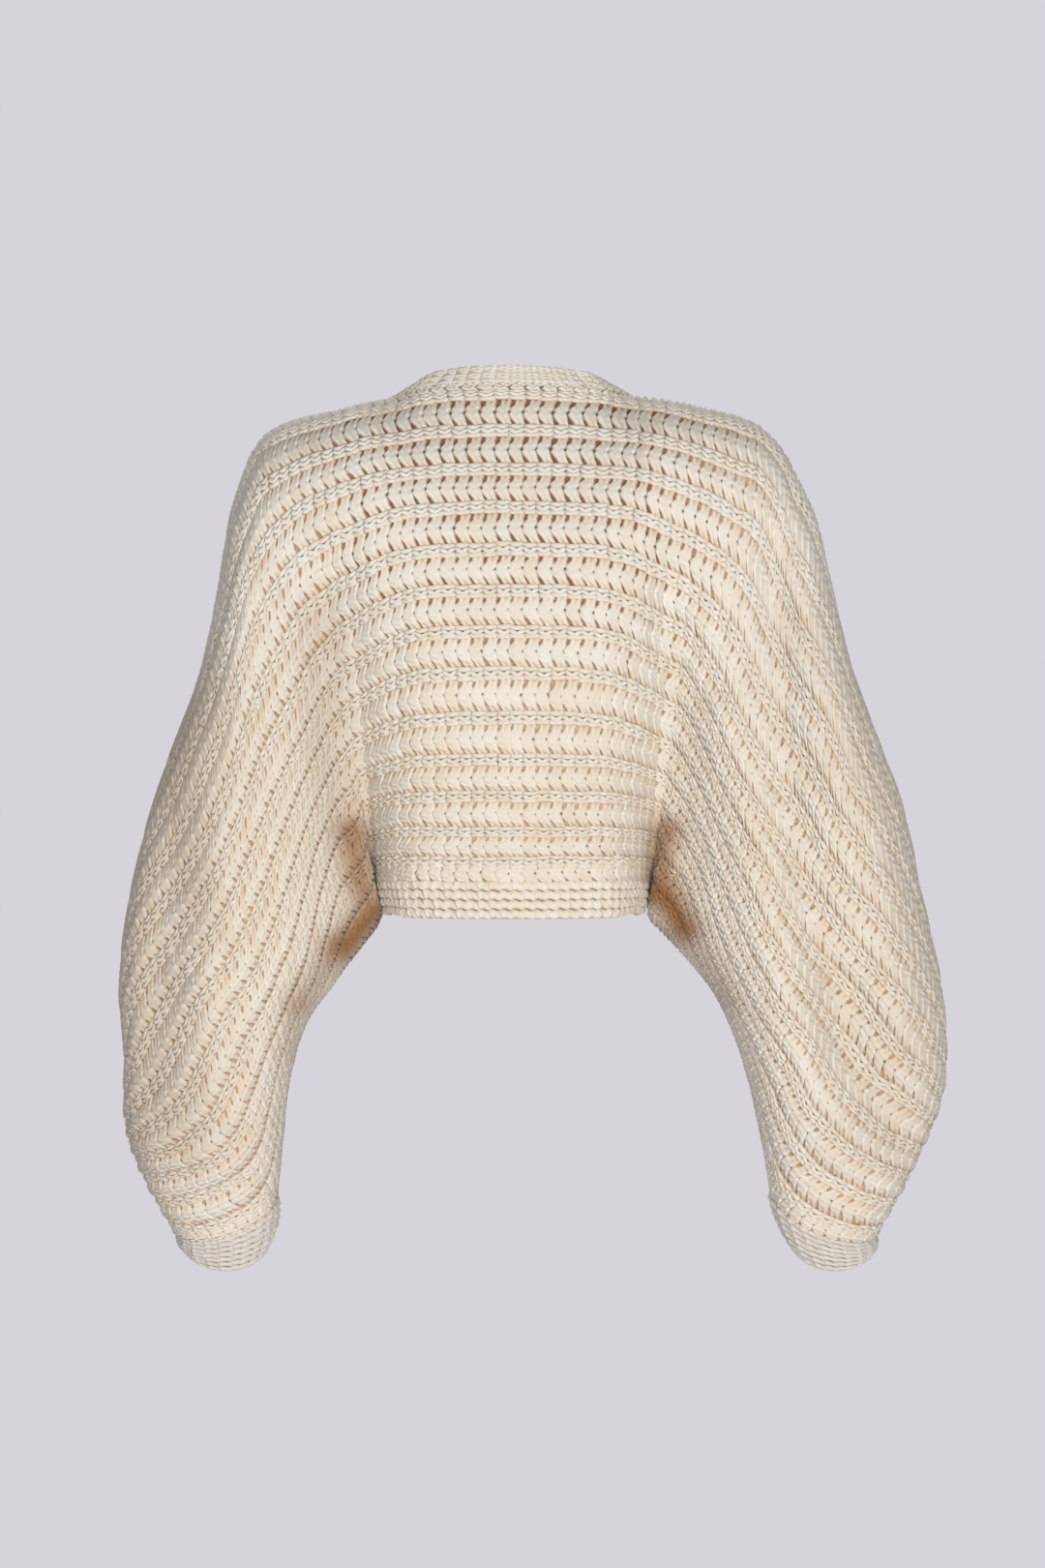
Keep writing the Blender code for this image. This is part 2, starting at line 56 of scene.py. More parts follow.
# Band sizes, as cut
bands = {
    "gap": 0.5 * mm,
    "neckRiseBack": 13 * mm,
    "neckRiseSide": 7 * mm,
    "neckLeanBack": 5 * mm,
    "neckLeanSide": 12 * mm,
    "neckCentre": 15 * mm,    # how far the middle of the neck lies towards the chest
    "neckRimUp": 0.35,        # how much the upper rim faces up
    "hemHeight": 26 * mm,
    "hemTaper": 0.02,
    "hemShift": 1 * mm,
    "hemCornerTuck": 6 * mm,
    "hemCornerRise": 3.5 * mm,
    "hemCornerFrom": 88 * mm,
    "hemCornerOver": 22 * mm,
    "cuffHalfWidth": 33 * mm,
    "cuffHalfDepth": 28 * mm,
    "cuffTilt": 17 * mm,
    "cuffSwell": 3 * mm,
    "cuffEndY": -40 * mm,
    "cuffEndZ": -686 * mm,
    "leftCuffEndX": 231 * mm,
    "rightCuffEndX": -264 * mm,
}

# Places along the sections, counted from the middle of the back
neckCorner = 2
hemCorner = 3
wrist = 15
frontNeckDrop = 55 * mm
neckRounding = 12 * mm

# Each section runs from an outer point, on the neck, shoulder or outer sleeve, to an inner
# point, on the hem, underarm or inner wrist. Millimetres, x away from the middle.
Outline = namedtuple("Outline", "name outerX outerZ innerX innerZ")
leftOutline = (
    Outline("centre", 0, 12, 0, -388),
    Outline("nape side", 60, 11, 52, -388),
    Outline("neck side", 98, 5, 88, -388),
    Outline("mid shoulder", 135, -4, 112, -392),
    Outline("shoulder tip", 196, -24, 103, -416),
    Outline("top of arm", 223, -82, 117, -439),
    Outline("upper arm", 234, -146, 133, -458),
    Outline("mid arm", 250, -220, 148, -477),
    Outline("above elbow", 272, -279, 163, -496),
    Outline("elbow", 293, -341, 172, -517),
    Outline("below elbow", 309, -410, 179, -544),
    Outline("high forearm", 316, -472, 183, -571),
    Outline("forearm", 313, -522, 185, -593),
    Outline("low forearm", 313, -580, 187, -615),
    Outline("above wrist", 301, -621, 189, -633),
    Outline("cuff", 273, -672, 188, -650),
)
rightOutline = (
    Outline("centre", 0, 12, 0, -388),
    Outline("nape side", 60, 11, 54, -388),
    Outline("neck side", 98, 8, 91, -388),
    Outline("mid shoulder", 138, 1, 115, -392),
    Outline("shoulder tip", 203, -19, 110, -416),
    Outline("top of arm", 240, -76, 125, -433),
    Outline("upper arm", 258, -144, 139, -447),
    Outline("mid arm", 275, -214, 154, -462),
    Outline("above elbow", 295, -268, 166, -477),
    Outline("elbow", 317, -328, 177, -499),
    Outline("below elbow", 331, -392, 187, -525),
    Outline("high forearm", 344, -446, 195, -553),
    Outline("forearm", 353, -500, 201, -579),
    Outline("low forearm", 351, -560, 206, -604),
    Outline("above wrist", 328, -619, 209, -624),
    Outline("cuff", 298, -675, 211, -646),
)

# Depth of each section's ends, its bulge back and front, how far its middle hangs, the skew
# and squareness of the bulge, how round it turns over at each end, and its first row.
Depth = namedtuple(
    "Depth",
    "name backOuter backInner frontOuter frontInner backBulge frontBulge"
    " droop skew box roundOuter roundInner firstRow",
)
depths = (
    Depth("centre", 50, 74, -84, -80, 36, -32, 0, 0.25, 0.00, 0.0, 0.0, 0),
    Depth("nape side", 36, 65, -70, -73, 49, -38, 0, 0.26, 0.00, 0.2, 0.0, 0),
    Depth("neck side", -15, 42, -15, -56, 87, -71, 0, 0.28, 0.02, 0.8, 0.0, 0),
    Depth("mid shoulder", -12, -20, -12, -20, 100, -82, 0, 0.21, 0.06, 1.0, 0.4, 0),
    Depth("shoulder tip", -10, -30, -10, -30, 96, -78, 0, 0.16, 0.08, 1.0, 0.9, 0),
    Depth("top of arm", -8, -37, -8, -37, 99, -70, 0, 0.10, 0.08, 1.0, 1.0, 0),
    Depth("upper arm", -6, -37, -6, -37, 101, -66, 0, 0.04, 0.09, 1.0, 1.0, 0),
    Depth("mid arm", -5, -32, -5, -32, 101, -64, 0, 0.00, 0.10, 1.0, 1.0, 0),
    Depth("above elbow", -5, -26, -5, -26, 99, -64, 0, -0.03, 0.10, 1.0, 1.0, 0),
    Depth("elbow", -7, -21, -7, -21, 95, -66, 0, -0.05, 0.10, 1.0, 1.0, 0.9),
    Depth("below elbow", -11, -19, -11, -19, 89, -66, 0, -0.05, 0.10, 1.0, 1.0, 2.4),
    Depth("high forearm", -16, -19, -16, -19, 82, -64, 2, -0.02, 0.09, 1.0, 1.0, 3.6),
    Depth("forearm", -21, -21, -21, -21, 74, -60, 5, 0.00, 0.08, 1.0, 1.0, 4.9),
    Depth("low forearm", -26, -25, -26, -25, 64, -54, 8, 0.00, 0.07, 1.0, 1.0, 7.2),
    Depth("above wrist", -31, -29, -31, -29, 51, -46, 12, 0.00, 0.06, 1.0, 1.0, 10.1),
    Depth("cuff", -35, -33, -35, -33, 38, -36, 15, 0.00, 0.05, 1.0, 1.0, 13.1),
)

# Heights of the ridges down the middle of the back, in millimetres, from the neckband to the hem
ridgeHeights = (1.6, -29, -60, -91, -124, -156, -188, -221, -257, -290, -318, -346, -369)

# How far a row hangs below its middle at some distances from it, in millimetres
RowSag = namedtuple("RowSag", "row at0 at60 at80 at100 at120 at135 at155 at175 at195 at225")
rowSags = (
    RowSag(0.0, 0, 1, 3, 7, 12, 16, 24, 30, 36, 96),
    RowSag(2.1, 0, 1, 3, 7, 14, 22, 40, 62, 82, 135),
    RowSag(4.1, 0, 2, 6, 14, 26, 37, 60, 88, 120, 170),
    RowSag(6.1, 0, 3, 7, 18, 31, 44, 88, 130, 170, 230),
    RowSag(8.1, 0, 2, 5, 14, 26, 38, 80, 130, 180, 250),
    RowSag(10.1, 0, 1, 3, 9, 17, 25, 60, 120, 180, 260),
    RowSag(13.1, 0, 0, 1, 2, 7, 14, 40, 100, 170, 260),
)

# Soft troughs (minus) and ridges (plus) along lines, in millimetres seen from behind
Fold = namedtuple("Fold", "name face height width x1 z1 x2 z2 x3 z3")
folds = (
    Fold("left side valley", "back", -14, 20, 146, -150, 140, -260, 128, -370),
    Fold("right side valley", "back", -12, 20, -128, -160, -134, -270, -132, -370),
    Fold("left lit ridge", "back", 9, 24, 214, -150, 212, -300, 238, -470),
    Fold("left outer hollow", "back", -9, 20, 268, -330, 280, -460, 290, -560),
    Fold("left forearm ridge", "back", 6, 22, 238, -470, 238, -540, 232, -610),
    Fold("right arm hollow", "back", -12, 18, -208, -130, -222, -330, -262, -520),
    Fold("right lit ridge", "back", 8, 22, -170, -260, -200, -420, -258, -590),
    Fold("right outer ridge", "back", 9, 24, -262, -240, -290, -380, -310, -480),
    Fold("right tuck", "back", -13, 19, -268, -470, -286, -545, -316, -590),
    Fold("left chest fold", "front", -10, 18, 146, -140, 138, -260, 124, -360),
    Fold("right chest fold", "front", -10, 18, -138, -130, -136, -250, -128, -350),
    Fold("left front hollow", "front", -9, 18, 232, -200, 250, -350, 262, -470),
    Fold("left front ridge", "front", 7, 20, 205, -240, 218, -400, 226, -560),
    Fold("right front hollow", "front", -10, 18, -240, -180, -262, -340, -285, -480),
    Fold("right front ridge", "front", 7, 20, -206, -260, -226, -420, -250, -570),
    Fold("front hem sag", "front", 6, 40, -60, -350, 0, -330, 60, -350),
)

# Where deep folds and the underarms gather warm shade, seen from behind
Shade = namedtuple("Shade", "name strength width x1 z1 x2 z2 x3 z3")
shades = (
    Shade("left hem corner", 0.80, 13, 127, -345, 122, -372, 118, -392),
    Shade("right hem corner", 0.80, 13, -125, -345, -121, -372, -120, -396),
    Shade("left underarm", 1.00, 15, 110, -411, 119, -422, 134, -439),
    Shade("right underarm", 1.00, 14, -122, -396, -132, -410, -140, -424),
    Shade("left lower underarm", 0.44, 12, 138, -442, 152, -460, 168, -484),
    Shade("right lower underarm", 0.30, 10, -146, -434, -160, -456, -176, -484),
    Shade("left inner sleeve", 0.26, 9, 168, -484, 172, -500, 178, -525),
    Shade("left outer sleeve", 0.22, 55, 268, -250, 315, -420, 280, -580),
    Shade("right outer sleeve", 0.10, 45, -262, -180, -320, -400, -300, -580),
    Shade("left side valley", 0.24, 22, 150, -180, 142, -280, 126, -352),
    Shade("right side valley", 0.08, 20, -136, -230, -140, -290, -126, -352),
    Shade("left outer hollow", 0.16, 20, 262, -250, 256, -330, 240, -420),
    Shade("right arm hollow", 0.06, 18, -214, -180, -224, -330, -262, -520),
)


# The garment's form

def column(left, right, name, flip=False):
    sign = -1.0 if flip else 1.0
    values = [sign * getattr(row, name) for row in right[:0:-1]]
    values += [getattr(row, name) for row in left]
    return np.array(values, float)


sections = {}
for name in Outline._fields[1:]:
    sections[name] = column(leftOutline, rightOutline, name, name.endswith("X")) * mm
for name in Depth._fields[1:]:
    scale = mm if name in Depth._fields[1:8] else 1.0
    sections[name] = column(depths, depths, name) * scale


def along(name, t):
    values = sections[name]
    padded = np.concatenate([[2 * values[0] - values[1]], values, [2 * values[-1] - values[-2]]])
    place = np.clip(np.asarray(t, float) + wrist, 0, 2 * wrist - 1e-9)
    i = np.floor(place).astype(int)
    f = place - i
    before, first, second, after = (padded[i + n] for n in range(4))
    slope = (second - before) * f
    bend = (2 * before - 5 * first + 4 * second - after) * f**2
    turn = (3 * first - before - 3 * second + after) * f**3
    return first + 0.5 * (slope + bend + turn)


def endDepth(face, end, t):
    own = along(face + end, t)
    shared = (along("back" + end, t) + along("front" + end, t)) / 2
    corner = neckCorner if end == "Outer" else hemCorner
    return np.where(np.abs(t) > corner, shared, own)


def nearLine(line, x, z):
    # one on a line of three points, falling off softly at its width
    corners = np.array([(line.x1, line.z1), (line.x2, line.z2), (line.x3, line.z3)]) * mm
    nearest = np.full_like(x, np.inf)
    for start, end in zip(corners, corners[1:]):
        run = end - start
        share = ((x - start[0]) * run[0] + (z - start[1]) * run[1]) / (run @ run)
        share = np.clip(share, 0, 1)
        away = np.hypot(x - start[0] - share * run[0], z - start[1] - share * run[1])
        nearest = np.minimum(nearest, away)
    return np.exp(-((nearest / (line.width * mm)) ** 2))


def foldHeight(face, x, z):
    total = np.zeros_like(x)
    for fold in folds:
        if fold.face == face:
            total += fold.height * mm * nearLine(fold, x, z)
    return total


def crest(face, t, u):
    # t counts the sections from the middle, u runs from a section's outer end to its inner end
    t, u = np.broadcast_arrays(np.asarray(t, float), np.asarray(u, float))
    startSlope = 1 - np.clip(along("roundOuter", t), 0, 1)
    endSlope = 1 - np.clip(along("roundInner", t), 0, 1)
    share = 3 * u**2 - 2 * u**3
    share = share + startSlope * (u**3 - 2 * u**2 + u) + endSlope * (u**3 - u**2)
    neck = np.clip(1 - (np.abs(t) / neckCorner) ** 2, 0, 1)
    drop = frontNeckDrop * neck if face == "front" else 0.0
    top = along("outerZ", t) - drop
    x = along("outerX", t) + (along("innerX", t) - along("outerX", t)) * share
    z = top + (along("innerZ", t) - top) * share
    arch = np.sin(np.pi * u)
    sign = 1.0 if face == "back" else -1.0
    z = z - sign * along("droop", t) * arch
    wave = arch + along("skew", t) * np.sin(2 * np.pi * u) + along("box", t) * np.sin(3 * np.pi * u)
    y = endDepth(face, "Outer", t) * (1 - share) + endDepth(face, "Inner", t) * share
    y = y + along(face + "Bulge", t) * wave
    y = y + sign * foldHeight(face, x, z) * arch * (2 - arch)
    cornerSwell = np.clip(4 * (np.abs(t) - 1) * (2 - np.abs(t)), 0, 1)
    y = y + sign * neckRounding * cornerSwell * (1 - u) ** 10
    return np.stack([x, y, z], axis=-1)


def unit(vectors):
    return vectors / np.linalg.norm(vectors, axis=-1, keepdims=True)


def onSeam(t, u):
    top = (u < 1e-6) & (np.abs(t) >= neckCorner - 1e-6)
    bottom = (u > 1 - 1e-6) & (np.abs(t) >= hemCorner - 1e-6)
    return top | bottom


def outward(face, t, u):
    stepT, stepU = 0.02, 0.01
    lowT, highT = np.maximum(t - stepT, -wrist), np.minimum(t + stepT, wrist)
    lowU, highU = np.maximum(u - stepU, 0), np.minimum(u + stepU, 1)
    sides = {}
    for side, sign in (("back", 1.0), ("front", -1.0)):
        across = crest(side, highT, u) - crest(side, lowT, u)
        down = crest(side, t, highU) - crest(side, t, lowU)
        sides[side] = unit(np.cross(across, down) * sign)
    shared = unit(sides["back"] + sides["front"] + 1e-9)
    return np.where(onSeam(t, u)[..., None], shared, sides[face])


ringT = np.linspace(-wrist, wrist, 601)
ringU = np.linspace(0, 1, 81)
ringSteps = np.linalg.norm(np.diff(crest("back", ringT[:, None], ringU[None, :]), axis=1), axis=2)
ringRun = np.concatenate([np.zeros((len(ringT), 1)), np.cumsum(ringSteps, axis=1)], axis=1)
ringShares = ringRun / ringRun[:, -1:]


def firstRow(t):
    return np.interp(np.abs(t), range(wrist + 1), [row.firstRow for row in depths])


def rowHeight(row):
    rows = [0.0] + [knitting["firstRidge"] + n for n in range(len(ridgeHeights))] + [knitting["repeats"]]
    return np.interp(row, rows, [12.0, *ridgeHeights, -388.0]) * mm


def sag(x, row):
    away = [float(name[2:]) for name in RowSag._fields[1:]]
    table = np.array([values[1:] for values in rowSags], float)
    drops = [np.interp(row, [values.row for values in rowSags], table[:, n]) for n in range(len(away))]
    return np.interp(np.abs(x) / mm, away, drops) * mm


def placeByHeight(t, row):
    # the rows lie level across the middle of the back and sag towards the sleeves
    line = crest("back", t[:, None], ringU[None, :])
    level = line[..., 2] + sag(line[..., 0], row)
    share = row / knitting["repeats"]
    goal = rowHeight(row) + (level[:, 0] - rowHeight(0)) * (1 - share) ** 3
    goal = goal + (level[:, -1] - rowHeight(knitting["repeats"])) * share**3
    return np.array([np.interp(-g, -l, ringU) for g, l in zip(goal, level)])


def placeOnRing(t, row):
    t = np.asarray(t, float)
    begins = firstRow(t)
    share = np.clip((row - begins) / np.maximum(knitting["repeats"] - begins, 1e-6), 0, 1)
    place = (t + wrist) / (2 * wrist) * (len(ringT) - 1)
    i = np.clip(place.astype(int), 0, len(ringT) - 2)
    f = (place - i)[:, None]
    rings = ringShares[i] * (1 - f) + ringShares[i + 1] * f
    even = np.array([np.interp(s, ring, ringU) for s, ring in zip(share, rings)])
    level = np.clip((knitting["levelUntil"] - np.abs(t)) / knitting["levelFade"], 0, 1)
    level = level * level * (3 - 2 * level)
    return even * (1 - level) + placeByHeight(t, row) * level


def rowEnd(row):
    starts = np.linspace(0, wrist, 1501)
    rows = firstRow(starts)
    flat = np.flatnonzero(rows <= 0)[-1]
    return float(np.interp(row, rows[flat:], starts[flat:]))


def rowPart(side, row, first, last, count, samples=160):
    # evenly spaced (t, u) along one row, between two places on it
    if row > knitting["repeats"] - 1e-6 and last > hemCorner:
        t = np.concatenate([np.linspace(first, last, samples), np.full(40, float(last))])
        u = np.concatenate([np.ones(samples), np.linspace(1, 0, 41)[1:]])
    else:
        t = first + (last - first) * (1 - (1 - np.linspace(0, 1, samples)) ** 2)
        u = placeOnRing(side * t, row)
    points = crest("back", side * t, u)
    steps = np.linalg.norm(np.diff(points, axis=0), axis=1)
    run = np.concatenate([[0], np.cumsum(steps)])
    even = np.linspace(0, run[-1], count + 1)
    return np.interp(even, run, side * t), np.interp(even, run, u)


def panelPlaces(row):
    # (t, u) of one row of the knitting, from its right end to its left end
    half = {}
    for side in (-1, 1):
        centre = rowPart(side, row, 0.0, float(hemCorner), knitting["centreColumns"])
        sleeve = knitting["halfColumns"] - knitting["centreColumns"]
        arm = rowPart(side, row, float(hemCorner), rowEnd(row), sleeve)
        columns = np.arange(knitting["halfColumns"] + 1)
        closer = knitting["bunching"] * (row / knitting["repeats"]) * (1 - columns / columns[-1])
        joined = [np.concatenate([centre[n][:-1], arm[n]]) for n in (0, 1)]
        half[side] = [np.interp(columns * (1 - closer), columns, part) for part in joined]
    return [np.concatenate([half[-1][n][::-1], half[1][n][1:]]) for n in (0, 1)]


panelRows = np.linspace(0, knitting["repeats"], knitting["guideRows"])
panelGrid = [panelPlaces(row) for row in panelRows]
gridT = np.array([places[0] for places in panelGrid])
gridU = np.array([places[1] for places in panelGrid])
print("rows of the knitting laid out:", gridT.shape)


def seamStep(face, t, u, out):
    inner = crest(face, t, np.clip(u, 0.02, 0.98)) - crest(face, t, u)
    inner = inner - out * np.sum(inner * out, axis=-1, keepdims=True)
    step = unit(inner + 1e-9) * knitting["seamGap"] / 2
    return np.where(onSeam(t, u)[..., None], step, 0.0)


def panelForm(face):
    out = outward(face, gridT, gridU)
    points = crest(face, gridT, gridU)
    return points + seamStep(face, gridT, gridU, out), out


def edgeRing(face, t, u, way, inward=0.0):
    # places round an opening, a gap away from the panels' edges
    points = np.array([crest(f, a, b) for f, a, b in zip(face, t, u)])
    outs = np.array([outward(f, np.array(a), np.array(b)) for f, a, b in zip(face, t, u)])
    middle = points.mean(axis=0)
    away = np.cross(np.roll(points, -1, axis=0) - np.roll(points, 1, axis=0), outs)
    towards = np.array(way) + inward * (middle - points)
    sign = np.sign(np.sum(away * towards, axis=1, keepdims=True))
    return points + unit(away) * sign * bands["gap"], outs


def backThenFront(places):
    return ["back"] * len(places) + ["front"] * (len(places) - 2)


def stacked(rings):
    points, outs = zip(*rings)
    return np.array(points), np.array(outs)


def neckForm(steps, start=0.0):
    t = np.linspace(-neckCorner, neckCorner, 49)
    places = np.concatenate([t[::-1], t[1:-1]])
    points, outs = edgeRing(backThenFront(t), places, np.zeros(len(places)), (0, 0, 1), inward=20.0)
    flat = points * (1, 1, 0) + (0, bands["neckCentre"], 0)
    inward = -unit(flat)
    sideways = np.abs(inward[:, :1])
    lean = bands["neckLeanBack"] + (bands["neckLeanSide"] - bands["neckLeanBack"]) * sideways
    rise = bands["neckRiseBack"] + (bands["neckRiseSide"] - bands["neckRiseBack"]) * sideways**6
    rings = []
    for share in np.linspace(start, 1, steps):
        lift = np.array([0, 0, 1.0]) * rise * share + inward * lean * share
        turned = outs * (1 - share) + (np.array([0, 0, bands["neckRimUp"]]) - inward) * share
        rings.append((points + lift, unit(turned)))
    return stacked(rings)


def hemForm(steps, start=0.0):
    t = np.linspace(-hemCorner, hemCorner, 65)
    places = np.concatenate([t, t[-2:0:-1]])
    points, outs = edgeRing(backThenFront(t), places, np.ones(len(places)), (0, 0, -1), inward=20.0)
    flat = points * (1, 1, 0)
    aside = points[:, :1]
    corner = np.clip((np.abs(aside) - bands["hemCornerFrom"]) / bands["hemCornerOver"], 0, 1)
    tuck = -bands["hemCornerTuck"] * np.sign(aside) * corner
    rounding = np.hstack([tuck, 0 * corner, bands["hemCornerRise"] * corner])
    drop = np.array([-bands["hemShift"], 0, -bands["hemHeight"]]) - flat * bands["hemTaper"]
    rings = []
    for share in np.linspace(start, 1, steps):
        down = drop * share + rounding * max(share, 0) ** 2
        turned = outs * (1 - share) + unit(flat) * share
        rings.append((points + down, unit(turned)))
    return stacked(rings)


def cuffForm(side, endX, steps, start=0.0):
    u = np.linspace(1, 0, 25)
    places = np.concatenate([u, u[-2:0:-1]])
    atWrist = np.full(len(places), float(side * wrist))
    points, outs = edgeRing(backThenFront(u), atWrist, places, (0, 0, -1))
    end = np.array([endX, bands["cuffEndY"], bands["cuffEndZ"]])
    spoke = points - points.mean(axis=0)
    angle = np.arctan2(spoke[:, 1] / bands["cuffHalfDepth"], spoke[:, 0] / bands["cuffHalfWidth"])
    flat = np.stack([np.cos(angle), np.sin(angle), 0 * angle], axis=1)
    size = np.array([bands["cuffHalfWidth"], bands["cuffHalfDepth"], 0])
    goal = end + flat * size + np.stack([0 * angle, 0 * angle, -np.sin(angle) * bands["cuffTilt"]], axis=1)
    rings = []
    for share in np.linspace(start, 1, steps):
        swell = bands["cuffSwell"] * math.sin(math.pi * share)
        turned = outs * (1 - share) + flat * share
        rings.append((points + (goal - points) * share + flat * swell, unit(turned)))
    return stacked(rings)


# Node helpers

class Value:
    def __init__(self, wires, socket):
        self.wires = wires
        self.socket = socket

    def maths(self, operation, *others):
        return self.wires.node("ShaderNodeMath", dict(enumerate((self, *others))), operation=operation)

    def __add__(self, other):
        return self.maths("ADD", other)

    def __sub__(self, other):
        return self.maths("SUBTRACT", other)

    def __rsub__(self, other):
        return self.maths("MULTIPLY", -1.0).maths("ADD", other)

    def __mul__(self, other):
        return self.maths("MULTIPLY", other)

    def __truediv__(self, other):
        return self.maths("DIVIDE", other)

    def within(self, low, high):
        return self.maths("MAXIMUM", low).maths("MINIMUM", high)

    def out(self, name):
        return Value(self.wires, self.wires.find(self.socket.node.outputs, name))


class Wires:
    def __init__(self, tree):
        self.tree = tree

    def find(self, sockets, name):
        if isinstance(name, int):
            return sockets[name]
        return next(s for s in sockets if s.name == name and s.enabled)

    def node(self, kind, sockets=None, **settings):
        made = self.tree.nodes.new(kind)
        for name, setting in settings.items():
            setattr(made, name, setting)
        for name, value in (sockets or {}).items():
            socket = self.find(made.inputs, name)
            if isinstance(value, Value):
                self.tree.links.new(value.socket, socket)
            else:
                socket.default_value = value
        return Value(self, made.outputs[0]) if len(made.outputs) else None

    def vector(self, operation, *values):
        return self.node("ShaderNodeVectorMath", dict(enumerate(values)), operation=operation)

    def join(self, x, y, z=0.0):
        return self.node("ShaderNodeCombineXYZ", {"X": x, "Y": y, "Z": z})

    def split(self, vector):
        parts = self.node("ShaderNodeSeparateXYZ", {0: vector})
        return [parts.out(name) for name in "XYZ"]

    def stored(self, name, output="Fac"):
        return self.node("ShaderNodeAttribute", attribute_name=name).out(output)

    def surface(self, sockets):
        shader = self.node("ShaderNodeBsdfPrincipled", sockets)
        self.node("ShaderNodeOutputMaterial", {"Surface": shader})

    def noise(self, place, scale, detail, output="Fac"):
        sockets = {"Vector": place, "Scale": scale, "Detail": detail}
        return self.node("ShaderNodeTexNoise", sockets).out(output)

    def mix(self, factor, first, second):
        colours = [(*c, 1.0) if isinstance(c, tuple) else c for c in (first, second)]
        sockets = {"Factor": factor, "A": colours[0], "B": colours[1]}
        return self.node("ShaderNodeMix", sockets, data_type="RGBA").out("Result")

    def chance(self, low, high, seed):
        sockets = {"Min": low, "Max": high, "Seed": seed}
        return self.node("FunctionNodeRandomValue", sockets, data_type="FLOAT_VECTOR")

    def keep(self, geometry, name, value, domain):
        sockets = {"Geometry": geometry, "Name": name, "Value": value}
        return self.node("GeometryNodeStoreNamedAttribute", sockets, data_type="FLOAT", domain=domain)

    def kept(self, name):
        found = self.node("GeometryNodeInputNamedAttribute", {"Name": name}, data_type="FLOAT_VECTOR")
        return found.out("Attribute")


# Knitted rows by Geometry Nodes: one stitch repeated over a flat grid, then laid on the form

knitInputs = {
    "Object": ("Guide", "Stitch"),
    "Int": ("Columns", "Rows", "Seed"),
    "Float": (
        "First column", "First row", "Row step", "Total columns", "Total rows", "Height", "Open", "Width",
        "Uneven columns", "Uneven rows", "Wander columns", "Wander rows",
    ),
    "Material": ("Yarn",),
}

chances = {
    "smallest": (0.94, 0.95, 0.92),   # growth of a stitch along the row, down it and outwards
    "largest": (1.07, 1.05, 1.08),
    "lift": 0.3 * mm,
    "driftColumns": 0.12,             # how fast the wandering changes along a row
    "driftRows": 0.4,
    "driftSeed": 3.7,
}

# The stitches of the upper back lie open, which fades downwards and towards the sleeves
openKnit = {"rows": 6.5, "rowFade": 4.5, "columns": 22.0, "columnFade": 13.0}


